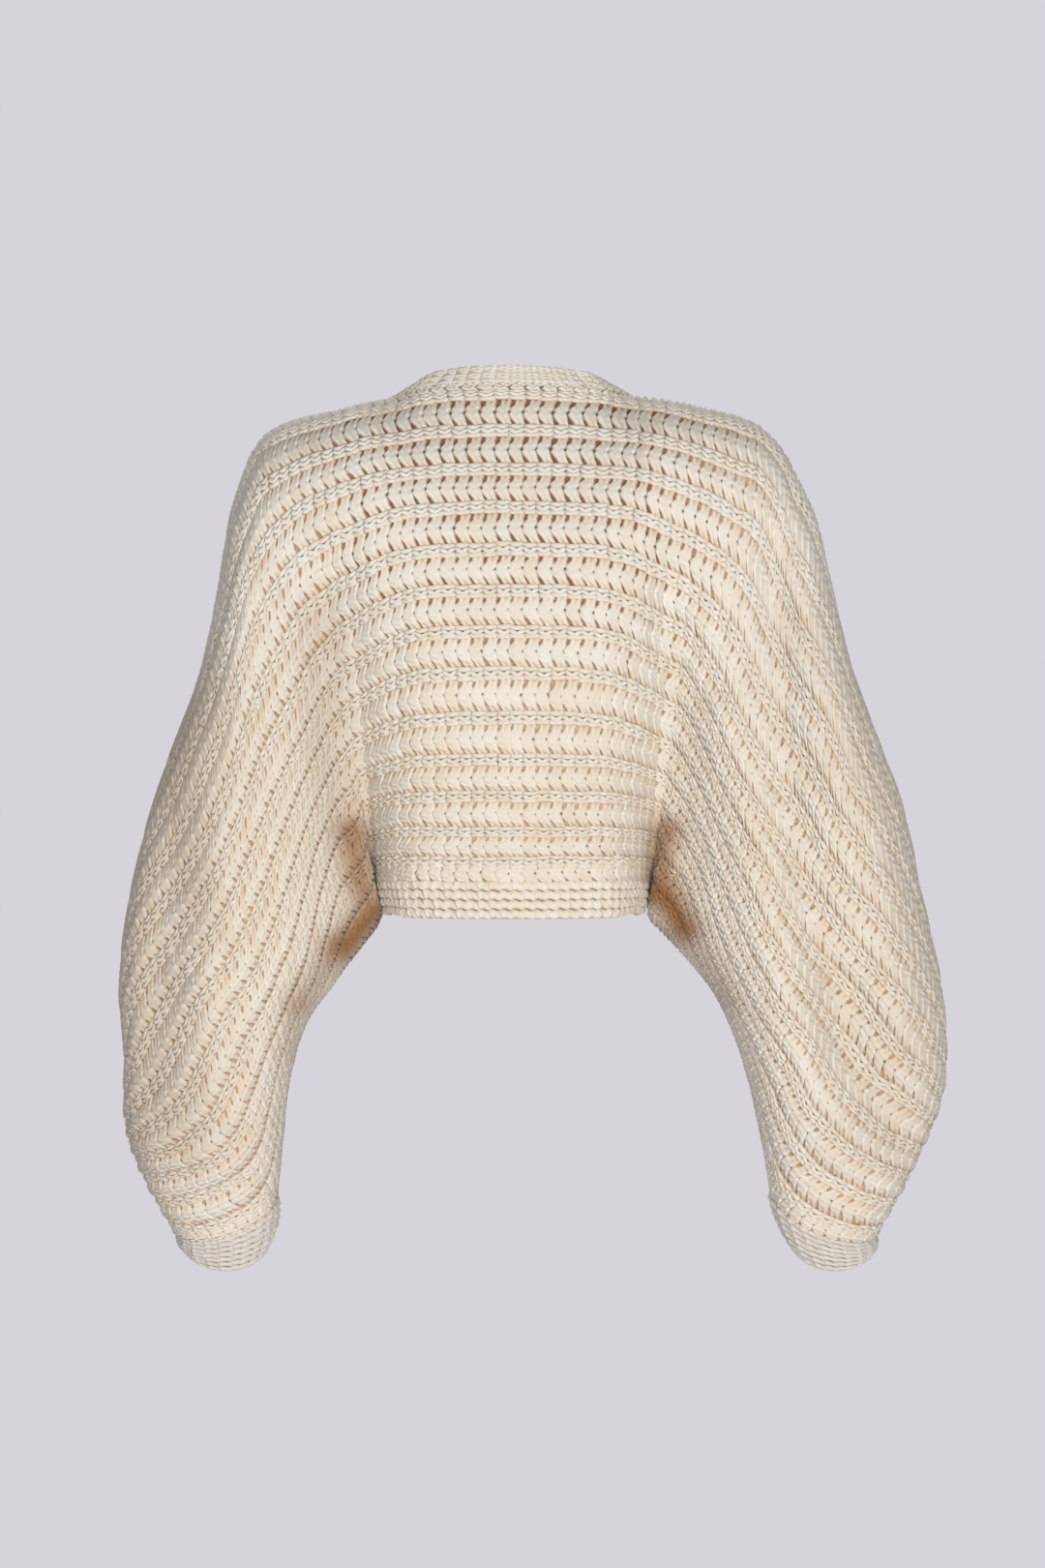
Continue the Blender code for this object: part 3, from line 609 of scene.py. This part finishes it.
def knitTree():
    tree = bpy.data.node_groups.new("knitRows", "GeometryNodeTree")
    tree.interface.new_socket(name="Geometry", in_out="OUTPUT", socket_type="NodeSocketGeometry")
    for kind, names in knitInputs.items():
        for name in names:
            tree.interface.new_socket(name=name, in_out="INPUT", socket_type="NodeSocket" + kind)
    w = Wires(tree)
    given = w.node("NodeGroupInput")
    columns, rows = given.out("Columns"), given.out("Rows")
    rowStep = given.out("Row step")
    guide = w.node("GeometryNodeObjectInfo", {"Object": given.out("Guide")}).out("Geometry")
    stitch = w.node("GeometryNodeObjectInfo", {"Object": given.out("Stitch")}).out("Geometry")
    grid = w.node("GeometryNodeMeshGrid", {
        "Size X": columns - 1,
        "Size Y": (rows - 1) * rowStep,
        "Vertices X": columns,
        "Vertices Y": rows,
    })
    seed = given.out("Seed")
    uneven = w.join(given.out("Uneven columns"), given.out("Uneven rows"), chances["lift"])
    corner = w.join(
        given.out("First column") + (columns - 1) * 0.5,
        given.out("First row") + (rows - 1) * rowStep * 0.5,
    )
    chance = w.chance((-1.0, -1.0, -1.0), (1.0, 1.0, 1.0), seed)
    shift = w.vector("ADD", w.vector("MULTIPLY", chance, uneven), corner)
    places = w.node("GeometryNodeSetPosition", {"Geometry": grid, "Offset": shift})
    growth = w.chance(chances["smallest"], chances["largest"], seed + 1)
    alongRow, downRows, _ = w.split(w.node("GeometryNodeInputPosition"))
    aside = (alongRow - given.out("Total columns") * 0.5).maths("ABSOLUTE")
    high = ((openKnit["rows"] - downRows) / openKnit["rowFade"]).within(0.0, 1.0)
    middle = ((openKnit["columns"] - aside) / openKnit["columnFade"]).within(0.0, 1.0)
    wide = given.out("Width") - high * middle * given.out("Open")
    scaled = w.vector("MULTIPLY", growth, w.join(wide, given.out("Height"), 1.0))
    stitches = w.node("GeometryNodeInstanceOnPoints", {
        "Points": places, "Instance": stitch, "Scale": scaled})
    shade = w.node("FunctionNodeRandomValue", {"Seed": seed + 2}, data_type="FLOAT").out("Value")
    shaded = w.keep(stitches, "shade", shade, "INSTANCE")
    real = w.node("GeometryNodeRealizeInstances", {"Geometry": shaded})
    here = w.node("GeometryNodeInputPosition")
    x, y, lift = w.split(here)
    deep = w.keep(real, "depth", lift, "POINT")
    flow = w.join(x * chances["driftColumns"], y * chances["driftRows"], seed * chances["driftSeed"])
    driftX, driftY, _ = w.split(w.noise(flow, 1.0, 1.0, "Color"))
    x = x + (driftX - 0.5) * given.out("Wander columns")
    y = y + (driftY - 0.5) * given.out("Wander rows")
    flat = w.join(  # kept just inside the guide's chart
        (x / given.out("Total columns")).within(0.0002, 0.9998),
        (y / given.out("Total rows")).within(0.0005, 0.9995),
    )
    chart = w.kept("flat")
    found = []
    for value in (here, w.kept("outward")):
        sockets = {"Mesh": guide, 1: value, 2: chart, 3: flat}
        found.append(w.node("GeometryNodeSampleUVSurface", sockets, data_type="FLOAT_VECTOR"))
    facing = w.vector("NORMALIZE", found[1])
    raised = w.node("ShaderNodeVectorMath", {0: facing, "Scale": lift}, operation="SCALE")
    laid = w.vector("ADD", found[0], raised)
    placed = w.node("GeometryNodeSetPosition", {"Geometry": deep, "Position": laid})
    painted = w.node("GeometryNodeSetMaterial", {"Geometry": placed, "Material": given.out("Yarn")})
    w.node("NodeGroupOutput", {"Geometry": painted})
    return tree


rowsTree = knitTree()


def newObject(name, data):
    thing = bpy.data.objects.new(name, data)
    bpy.context.scene.collection.objects.link(thing)
    return thing


def meshObject(name, points, faces):
    mesh = bpy.data.meshes.new(name)
    mesh.from_pydata([tuple(p) for p in points], [], faces)
    mesh.update()
    return newObject(name, mesh)


def store(thing, name, values):
    # one number or one vector for each point
    values = np.asarray(values, float)
    kind, slot = ("FLOAT", "value") if values.ndim == 1 else ("FLOAT_VECTOR", "vector")
    thing.data.attributes.new(name, kind, "POINT").data.foreach_set(slot, values.ravel())


def stitchObject(name, points, faces, spun):
    thing = meshObject(name, points, faces)
    store(thing, "yarn", spun)
    thing.data.shade_smooth()
    return thing


def tubeFaces(first, rings, sides):
    faces = []
    for r in range(rings - 1):
        for n in range(sides):
            a, b = first + r * sides + n, first + r * sides + (n + 1) % sides
            faces.append((a, b, b + sides, a + sides))
    last = first + (rings - 1) * sides
    faces.append(tuple(range(first + sides - 1, first - 1, -1)))
    faces.append(tuple(range(last, last + sides)))
    return faces


def strandStitch(name, strands, sides, pitch, tall):
    # strands of (x, y, z, radius) places in millimetres, y up, made one stitch in flat units
    points, faces, spun = [], [], []
    for strand in strands:
        path = np.array(strand, float)
        centres, radii = path[:, :3], path[:, 3]
        run = np.concatenate([[0], np.cumsum(np.linalg.norm(np.diff(centres, axis=0), axis=1))])
        ways = unit(np.gradient(centres, axis=0))
        first = len(points)
        for centre, radius, way, place in zip(centres, radii, ways, run):
            side = unit(np.cross(way, (0, 0, 1.0)))
            up = np.cross(side, way)
            for n in range(sides):
                angle = 2 * math.pi * n / sides
                ring = centre + radius * (side * math.cos(angle) + up * math.sin(angle))
                points.append((ring[0] / pitch, -ring[1] / tall, ring[2] * mm))
                spun.append((place, math.cos(angle), math.sin(angle)))
        faces += tubeFaces(first, len(path), sides)
    return stitchObject(name, points, faces, spun)


# Stitch shapes, in millimetres, seen from outside with y up

TallPart = namedtuple("TallPart", "down lean halfWidth height")
tallParts = (
    TallPart(0.00, 2.6, 5.3, -4.6),
    TallPart(0.10, 2.2, 4.7, -3.7),
    TallPart(0.20, 1.4, 4.3, -3.1),
    TallPart(0.29, 0.4, 5.7, -2.5),
    TallPart(0.37, -0.5, 6.5, -2.2),
    TallPart(0.46, -1.3, 4.8, -2.3),
    TallPart(0.55, -1.2, 6.5, -2.0),
    TallPart(0.65, 0.0, 5.6, -2.2),
    TallPart(0.80, 2.1, 4.6, -3.1),
    TallPart(1.00, 4.4, 5.3, -4.6),
)

# Outline across the stitch: two strands side by side, and the turn of the yarn at each point
StrandPoint = namedtuple("StrandPoint", "across up turn")
strandPoints = (
    StrandPoint(-1.00, -0.20, 180),
    StrandPoint(-0.52, 0.95, 110),
    StrandPoint(0.00, 0.20, 40),
    StrandPoint(0.52, 0.95, 80),
    StrandPoint(1.00, -0.20, 0),
    StrandPoint(0.50, -0.80, 300),
    StrandPoint(-0.50, -0.80, 240),
)

tallStitch = {
    "pitch": 11.0,
    "tall": 33.0,
    "half": 13.0,         # half of the stitch's height
    "thick": 3.35,
}

# A ridge of the panels: two cords and a strand that swings between them
ridgeLink = {
    "pitch": 11.0,
    "tall": 33.0,
    "sides": 5,
    "cordPlace": 3.6,     # distance of the two outer cords from the ridge's middle
    "cordWave": 0.35,
    "cordRadius": 2.1,
    "cordSwell": 0.35,
    "cordHeight": -1.9,
    "zigzag": 1.6,        # how far the middle strand swings to each side
    "zigzagRadius": 2.0,
    "zigzagHeight": -1.5,
    "zigzagLift": 0.25,
    "steps": 4,
}

# The same, finer, for the neckband
bandLink = {
    **ridgeLink,
    "pitch": 10.0,
    "tall": 8.2,
    "cordPlace": 2.75,
    "cordWave": 0.3,
    "cordRadius": 1.75,
    "cordSwell": 0.25,
    "zigzag": 1.05,
    "zigzagRadius": 1.75,
    "zigzagHeight": -1.3,
}

# One cord of the hem band and the cuffs
cordLink = {
    "pitch": 10.0,
    "tall": 6.6,
    "sides": 8,
    "radius": 3.35,
    "swell": 0.40,
    "wave": 0.55,
    "height": -2.9,
    "steps": 6,
}

linkOverlap = 0.6         # how far each link of a row reaches into the next one


def makeTallStitch(name, look):
    points, spun = [], []
    for part in tallParts:
        y = look["half"] * (1 - 2 * part.down)
        for point in strandPoints:
            x = part.lean + part.halfWidth * point.across
            z = part.height + look["thick"] * point.up
            points.append((x / look["pitch"], -y / look["tall"], z * mm))
            turn = math.radians(point.turn)
            spun.append((2 * look["half"] * part.down, math.cos(turn), math.sin(turn)))
    faces = tubeFaces(0, len(tallParts), len(strandPoints))
    faces = [face[:1] + face[:0:-1] for face in faces]  # turned over, as its rings run the other way
    return stitchObject(name, points, faces, spun)


def makeRidge(name, look):
    # the strand swings between the cords, which leaves small holes on both sides
    length = look["pitch"] + linkOverlap
    strands = []
    for side in (-1, 1):
        cord = []
        for share in (0.0, 0.5, 1.0):
            near = side * math.cos(2 * math.pi * share)
            y = side * (look["cordPlace"] + look["cordWave"] * near)
            radius = look["cordRadius"] - look["cordSwell"] * near
            cord.append(((share - 0.5) * length, y, look["cordHeight"], radius))
        strands.append(cord)
    middle = []
    for n in range(look["steps"] + 1):
        share = n / look["steps"]
        y = look["zigzag"] * math.cos(2 * math.pi * share)
        z = look["zigzagHeight"] + look["zigzagLift"] * math.sin(2 * math.pi * share)
        middle.append(((share - 0.5) * length, y, z, look["zigzagRadius"]))
    strands.append(middle)
    return strandStitch(name, strands, look["sides"], look["pitch"], look["tall"])


def makeCord(name, look):
    # one cord that swells and bends once in each stitch
    length = look["pitch"] + linkOverlap
    cord = []
    for n in range(look["steps"] + 1):
        turn = 2 * math.pi * n / look["steps"]
        x = (n / look["steps"] - 0.5) * length
        radius = look["radius"] + look["swell"] * math.cos(turn)
        cord.append((x, look["wave"] * math.sin(turn), look["height"], radius))
    return strandStitch(name, [cord], look["sides"], look["pitch"], look["tall"])


# Yarn and ground

yarnLook = {
    "cream": (0.845, 0.80, 0.71),
    "warm": (0.79, 0.69, 0.54),
    # deep is painted shade: the warmer, darker colour the yarn takes in its crevices
    "deep": (0.68, 0.46, 0.27),
    "shaded": (0.33, 0.15, 0.045),
    "creviceShadeFrom": 0.8,        # millimetres below the surface where the painted crevice shade of the yarn starts
    "creviceShadeOver": 3.0,
    "creviceShadeMost": 0.86,
    "lowFrom": 0.10,        # metres below the origin where painted warm bounce light starts to warm the yarn
    "lowOver": 0.20,
    "lowBounceWarmth": 0.28,
    "baseWarmth": 0.20,
    "stitchWarmth": 0.5,    # how much the warmth differs from stitch to stitch
    "cloudWarmth": 0.9,     # how much it differs in soft clouds
    "cloudScale": 60.0,
    "plyPitch": 5.2,        # millimetres of one twist
    "plyBump": 0.35,
    "fuzzBump": 0.25,
    "fuzzScale": 1400.0,
    "bump": {"Strength": 0.6, "Distance": 0.8 * mm},
    "roughness": 0.9,
    "sheen": 0.25,
}

# What differs in the panel ridges, where the painted crevice shade sets in soon in their small holes, and in
# the cuffs
ridgeLook = {"creviceShadeFrom": 0.2, "creviceShadeOver": 1.8, "creviceShadeMost": 0.50, "deep": (0.74, 0.48, 0.25)}
# painted shade: the cuffs take a greyer, darker copy of the same yarn
cuffShadeLook = {"cream": (0.74, 0.71, 0.66), "warm": (0.70, 0.64, 0.56)}

# The ground stands for the yarn behind the stitches; its tan is painted shade in the gaps between stitches,
# its brown deeper painted shade in the open stitches of the upper back and in the folds
groundLook = {
    "tan": (0.60, 0.42, 0.24),
    "brown": (0.28, 0.12, 0.06),
    "inside": (0.66, 0.57, 0.44),
    "brownFrom": -0.26,     # height in metres where the ground's painted brown shade starts
    "brownOver": 0.11,
    "brownSide": 0.19,      # metres from the middle where it ends
    "brownFade": 0.08,
    "brownFolds": 0.8,
    "knitBump": 0.35,
    "fuzzBump": 0.5,
    "fuzzScale": 700.0,
    "bump": {"Strength": 0.8, "Distance": 1.5 * mm},
    "roughness": 0.95,
}


def emptyMaterial(name):
    material = bpy.data.materials.new(name)
    material.use_nodes = True
    material.node_tree.nodes.clear()
    return material, Wires(material.node_tree)


def yarnMaterial(name, look):
    material, w = emptyMaterial(name)
    place, across, over = w.split(w.stored("yarn", "Vector"))
    turn = place * (2 * math.pi / look["plyPitch"])
    twoAcross = across * across * 2 - 1
    twoOver = across * over * 2
    ply = turn.maths("SINE") * twoAcross + turn.maths("COSINE") * twoOver
    where = w.node("ShaderNodeTexCoord").out("Object")
    fuzz = w.noise(where, look["fuzzScale"], 2.0)
    cloud = w.noise(where, look["cloudScale"], 2.0)
    height = w.split(where)[2]
    # painted warm bounce light: a warmer, darker tone of the yarn towards the bottom
    low = ((height * -1 - look["lowFrom"]) / look["lowOver"]).within(0.0, 1.0)
    tone = (w.stored("shade") - 0.5) * look["stitchWarmth"] + (cloud - 0.5) * look["cloudWarmth"]
    tone = tone + look["baseWarmth"]
    tone = (tone + low * look["lowBounceWarmth"]).within(0.0, 1.0)
    colour = w.mix(tone, look["cream"], look["warm"])
    # painted shade: the deeper a point lies among the stitches, the more of the deep colour it takes
    below = ((w.stored("depth") * (-1 / mm) - look["creviceShadeFrom"]) / look["creviceShadeOver"]).within(0.0, 1.0)
    colour = w.mix(below * look["creviceShadeMost"], colour, look["deep"])
    colour = w.mix(w.stored("foldShade"), colour, look["shaded"])
    relief = ply * look["plyBump"] + fuzz * look["fuzzBump"]
    bump = w.node("ShaderNodeBump", {"Height": relief, **look["bump"]}).out("Normal")
    w.surface({
        "Base Color": colour,
        "Roughness": look["roughness"],
        "Normal": bump,
        "Sheen Weight": look["sheen"],
        "Sheen Roughness": 0.5,
        "Specular IOR Level": 0.2,
    })
    return material


def groundMaterial(name, look):
    material, w = emptyMaterial(name)
    where = w.node("ShaderNodeTexCoord").out("Object")
    x, _, z = w.split(where)
    # painted shade: brown over the tan in the upper middle of the back and in the folds
    upper = ((z - look["brownFrom"]) / look["brownOver"]).within(0.0, 1.0)
    middle = ((look["brownSide"] - x.maths("ABSOLUTE")) / look["brownFade"]).within(0.0, 1.0)
    colour = w.mix(upper * middle, look["tan"], look["brown"])
    colour = w.mix(w.stored("foldShade") * look["brownFolds"], colour, look["brown"])
    colour = w.mix(w.stored("insideFace"), colour, look["inside"])
    alongRow, downRows, _ = w.split(w.stored("stitchPlace", "Vector"))
    wales = (alongRow * (2 * math.pi)).maths("SINE")
    courses = (downRows * (4 * math.pi)).maths("SINE")
    fuzz = w.noise(where, look["fuzzScale"], 3.0)
    height = (wales + courses) * look["knitBump"] + fuzz * look["fuzzBump"]
    bump = w.node("ShaderNodeBump", {"Height": height, **look["bump"]}).out("Normal")
    w.surface({
        "Base Color": colour,
        "Roughness": look["roughness"],
        "Normal": bump,
        "Specular IOR Level": 0.1,
    })
    return material


creamYarn = yarnMaterial("cream yarn", yarnLook)
ridgeYarn = yarnMaterial("cream yarn of the ridges", {**yarnLook, **ridgeLook})
# a shaded copy of the yarn for the cuffs: painted shade
cuffYarnInShade = yarnMaterial("cream yarn of the cuffs", {**yarnLook, **cuffShadeLook})
# the ground under the stitches, darker than the yarn: painted shade
groundYarnInShade = groundMaterial("yarn behind the stitches", groundLook)
print("materials made")


# Shells and guides

shellWall = {"top": 3.6 * mm, "bottom": 6.0 * mm}


def chart(points, outs, ring):
    # how far along each row every place lies, so that it grows to the right seen from outside
    rows, count = points.shape[:2]
    if ring:
        points = np.concatenate([points, points[:, :1]], axis=1)
        outs = np.concatenate([outs, outs[:, :1]], axis=1)
        steps = np.linalg.norm(np.diff(points[rows // 2], axis=0), axis=1)
        share = np.concatenate([[0], np.cumsum(steps)]) / steps.sum()
        share = np.tile(share, (rows, 1))
    else:
        share = np.tile(np.linspace(0, 1, count), (rows, 1))
    right = points[:-1, 1:] - points[:-1, :-1]
    down = points[1:, :-1] - points[:-1, :-1]
    facing = np.sum(np.cross(right, -down) * outs[:-1, :-1])
    if facing < 0:
        share = 1 - share
    return points, outs, share, facing


def guideObject(name, points, outs, ring=False):
    points, outs, share, facing = chart(points, outs, ring)
    rows, count = points.shape[:2]
    faces = []
    for r in range(rows - 1):
        for c in range(count - 1):
            a = r * count + c
            faces.append((a, a + 1, a + count + 1, a + count))
    thing = meshObject(name, points.reshape(-1, 3), faces)
    store(thing, "outward", outs.reshape(-1, 3))
    down = np.repeat(np.linspace(0, 1, rows), count)
    flat = np.stack([share.ravel(), down], axis=1)
    layer = thing.data.uv_layers.new(name="flat")
    corners = np.zeros(len(thing.data.loops), int)
    thing.data.loops.foreach_get("vertex_index", corners)
    layer.data.foreach_set("uv", flat[corners].ravel())
    return thing


def shellObject(name, points, outs, ring, columns, rowsTotal, material):
    rows, count = points.shape[:2]
    outer = (points - outs * shellWall["top"]).reshape(-1, 3)
    inner = (points - outs * shellWall["bottom"]).reshape(-1, 3)
    facing = chart(points, outs, ring)[3]
    half = rows * count
    around = count if ring else count - 1
    faces = []
    for r in range(rows - 1):
        for c in range(around):
            d = (c + 1) % count
            quad = (r * count + c, r * count + d, (r + 1) * count + d, (r + 1) * count + c)
            faces.append(quad)
            faces.append(tuple(half + n for n in quad[::-1]))
    edges = [(c, (c + 1) % count) for c in range(around)]
    last = (rows - 1) * count
    edges += [(last + (c + 1) % count, last + c) for c in range(around)]
    if not ring:
        edges += [(r * count + count - 1, (r + 1) * count + count - 1) for r in range(rows - 1)]
        edges += [((r + 1) * count, r * count) for r in range(rows - 1)]
    faces += [(b, a, half + a, half + b) for a, b in edges]
    if facing > 0:
        faces = [face[::-1] for face in faces]
    thing = meshObject(name, np.concatenate([outer, inner]), faces)
    store(thing, "insideFace", np.repeat([0.0, 1.0], half))
    across, down = np.meshgrid(np.linspace(0, columns, count), np.linspace(0, rowsTotal, rows))
    flat = np.stack([across.ravel(), down.ravel(), 0 * down.ravel()], axis=1)
    store(thing, "stitchPlace", np.concatenate([flat, flat]))
    thing.data.materials.append(material)
    thing.data.shade_smooth()
    thing.data.set_sharp_from_angle(angle=math.radians(60))
    return thing


def shadeFolds(thing):
    # stores how much warm shade lies on each point
    count = len(thing.data.vertices)
    places = np.empty(count * 3)
    thing.data.vertices.foreach_get("co", places)
    places = places.reshape(-1, 3)
    clear = np.ones(count)
    for shade in shades:
        clear *= 1 - shade.strength * nearLine(shade, places[:, 0], places[:, 2])
    store(thing, "foldShade", 1 - clear)


# What rows have unless their own settings say otherwise
plainRows = {
    "First column": 0.5, "Row step": 1.0, "Height": 1.0, "Open": 0.0, "Width": 1.0, "Yarn": creamYarn}


def knit(name, guide, stitch, settings):
    holder = newObject(name + "Grid", bpy.data.meshes.new(name + "Grid"))
    modifier = holder.modifiers.new("knitRows", "NODES")
    modifier.node_group = rowsTree
    given = {**plainRows, "Guide": guide, "Stitch": stitch, **settings}
    for item in rowsTree.interface.items_tree:
        if item.in_out == "INPUT":
            modifier[item.identifier] = given[item.name]
    evaluated = holder.evaluated_get(bpy.context.evaluated_depsgraph_get())
    mesh = bpy.data.meshes.new_from_object(evaluated)
    mesh.name = name
    bpy.data.objects.remove(holder)
    piece = newObject(name, mesh)
    mesh.shade_smooth()
    mesh.calc_loop_triangles()
    print(name, len(mesh.loop_triangles), "triangles")
    return piece


# The six knitted pieces

panelLook = {
    "flat": (1.04, 0.43),
    "tallFirst": 1.1,
    "tallRows": 12,
    "edgeFirst": 0.25,        # short rows at the top and bottom edges
    "edgeStep": 12.62,
    "edgeHeight": 0.70,
    "ridgeRows": 13,
    "unevenColumns": 0.035,
    "unevenRows": 0.02,
    "wanderColumns": 0.45,
    "wanderRows": 0.09,
    "width": 1.15,
    "open": 0.18,             # how much narrower the stitches of the upper back are
}

tall = makeTallStitch("tallStitch", tallStitch)
ridge = makeRidge("ridgeLink", ridgeLink)
link = makeRidge("bandLink", bandLink)
cord = makeCord("cordLink", cordLink)
helpers = [tall, ridge, link, cord]
totalColumns = 2 * knitting["halfColumns"]

for face, seed in (("back", 3), ("front", 23)):
    points, outs = panelForm(face)
    guide = guideObject(face + "Guide", points, outs)
    helpers.append(guide)
    shell = shellObject(
        face + "Panel", points, outs, False, totalColumns, knitting["repeats"], groundYarnInShade)
    common = {
        "Total columns": float(totalColumns),
        "Total rows": knitting["repeats"],
        "Uneven columns": panelLook["unevenColumns"],
        "Uneven rows": panelLook["unevenRows"],
        "Wander columns": panelLook["wanderColumns"],
        "Wander rows": panelLook["wanderRows"],
    }
    broad = {**common, "Open": panelLook["open"], "Width": panelLook["width"]}
    pieces = []
    for half, firstColumn in (("Right", 0.5), ("Left", knitting["halfColumns"] + 0.5)):
        pieces.append(knit(face + half + "TallRows", guide, tall, {
            **broad, "Columns": knitting["halfColumns"], "Rows": panelLook["tallRows"],
            "First column": firstColumn, "First row": panelLook["tallFirst"],
            "Seed": seed + int(firstColumn)}))
    pieces.append(knit(face + "EdgeRows", guide, tall, {
        **broad, "Columns": totalColumns, "Rows": 2, "First row": panelLook["edgeFirst"],
        "Row step": panelLook["edgeStep"], "Height": panelLook["edgeHeight"], "Seed": seed + 2}))
    pieces.append(knit(face + "Ridges", guide, ridge, {
        **common, "Columns": totalColumns, "Rows": panelLook["ridgeRows"],
        "First row": knitting["firstRidge"], "Seed": seed + 3, "Yarn": ridgeYarn}))
    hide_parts(face + "_panel")
    for piece in (shell, *pieces):
        shadeFolds(piece)
        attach(piece, "root")
print("panels knitted")

# Overlap is how far a band's rows start above its own edge; flat is its cut size in metres
cuffRows = {
    "overlap": -0.10, "rows": 7, "columns": 22, "flat": (0.22, 0.040), "stitch": cord, "yarn": cuffYarnInShade}
bandLook = {
    "neck": {
        "node": "neckband", "form": neckForm, "overlap": -0.22, "rows": 3, "columns": 46,
        "flat": (0.50, 0.016), "stitch": link, "yarn": creamYarn, "seed": 41},
    "hem": {
        "node": "hem_band", "form": hemForm, "overlap": -0.15, "rows": 4, "columns": 66,
        "flat": (0.64, 0.032), "stitch": cord, "yarn": creamYarn, "seed": 47},
    "leftCuff": {
        **cuffRows, "node": "left_cuff", "form": partial(cuffForm, 1, bands["leftCuffEndX"]), "seed": 53},
    "rightCuff": {
        **cuffRows, "node": "right_cuff", "form": partial(cuffForm, -1, bands["rightCuffEndX"]), "seed": 59},
}
bandUneven = {
    "Uneven columns": 0.02,
    "Uneven rows": 0.03,
    "Wander columns": 0.3,
    "Wander rows": 0.0,
}

for name, look in bandLook.items():
    steps = 2 * look["rows"] + 1
    guide = guideObject(name + "Guide", *look["form"](steps, look["overlap"]), ring=True)
    points, outs = look["form"](steps)
    helpers.append(guide)
    shell = shellObject(name + "Band", points, outs, True, look["columns"], look["rows"], groundYarnInShade)
    rows = knit(name + "Rows", guide, look["stitch"], {
        **bandUneven, "Columns": look["columns"], "Rows": look["rows"], "First row": 0.5,
        "Total columns": float(look["columns"]), "Total rows": float(look["rows"]),
        "Yarn": look["yarn"], "Seed": look["seed"]})
    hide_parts(look["node"])
    for piece in (shell, rows):
        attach(piece, "root")
for thing in helpers:
    bpy.data.objects.remove(thing)
print("bands knitted")


# Floor, light and camera

studio = {
    "floorRadius": 2.4,
    "floorHeight": -1.6,
    "floorSides": 64,
    "floorColour": (0.72, 0.70, 0.74, 1.0),
    "floorRoughness": 0.9,
    "backdrop": (0.679, 0.651, 0.708),
    "ambient": (0.26, 0.26, 0.27),
    "cameraPlace": (-0.010, 3.0, -0.308),
    "lens": 85.4,
    "lightsAim": (0, 0, -0.3),
}

Lamp = namedtuple("Lamp", "name place size power colour")
lamps = (
    Lamp("key", (-0.85, 3.1, -0.08), 1.2, 51, (1.0, 0.985, 0.955)),
    Lamp("fill", (0.5, 3.0, -1.1), 1.6, 28, (0.98, 0.98, 1.0)),
    Lamp("front", (0.6, -2.4, 1.2), 2.0, 60, (1.0, 0.98, 0.95)),
)

floorPoints = []
for n in range(studio["floorSides"]):
    angle = 2 * math.pi * n / studio["floorSides"]
    x, y = studio["floorRadius"] * math.cos(angle), studio["floorRadius"] * math.sin(angle)
    floorPoints.append((x, y, studio["floorHeight"]))
floor = meshObject("floor", floorPoints, [tuple(range(studio["floorSides"]))])
floorMaterial, w = emptyMaterial("plain floor")
w.surface({"Base Color": studio["floorColour"], "Roughness": studio["floorRoughness"]})
floor.data.materials.append(floorMaterial)

world = bpy.data.worlds.new("studio")
world.use_nodes = True
world.node_tree.nodes.clear()
w = Wires(world.node_tree)
seen = w.node("ShaderNodeLightPath").out("Is Camera Ray")
air = w.node("ShaderNodeBackground", {"Color": w.mix(seen, studio["ambient"], studio["backdrop"])})
w.node("ShaderNodeOutputWorld", {"Surface": air})
bpy.context.scene.world = world

for lamp in lamps:
    data = bpy.data.lights.new(lamp.name, "AREA")
    data.shape = "DISK"
    data.size = lamp.size
    data.energy = lamp.power
    data.color = lamp.colour
    light = newObject(lamp.name, data)
    light.location = lamp.place
    aim = Vector(studio["lightsAim"]) - Vector(lamp.place)
    light.rotation_euler = aim.to_track_quat("-Z", "Y").to_euler()

camera = newObject("camera", bpy.data.cameras.new("camera"))
camera.location = studio["cameraPlace"]
camera.rotation_euler = (math.pi / 2, 0, math.pi)
camera.data.lens = studio["lens"]
bpy.context.scene.camera = camera
bpy.context.scene.view_settings.view_transform = "Standard"
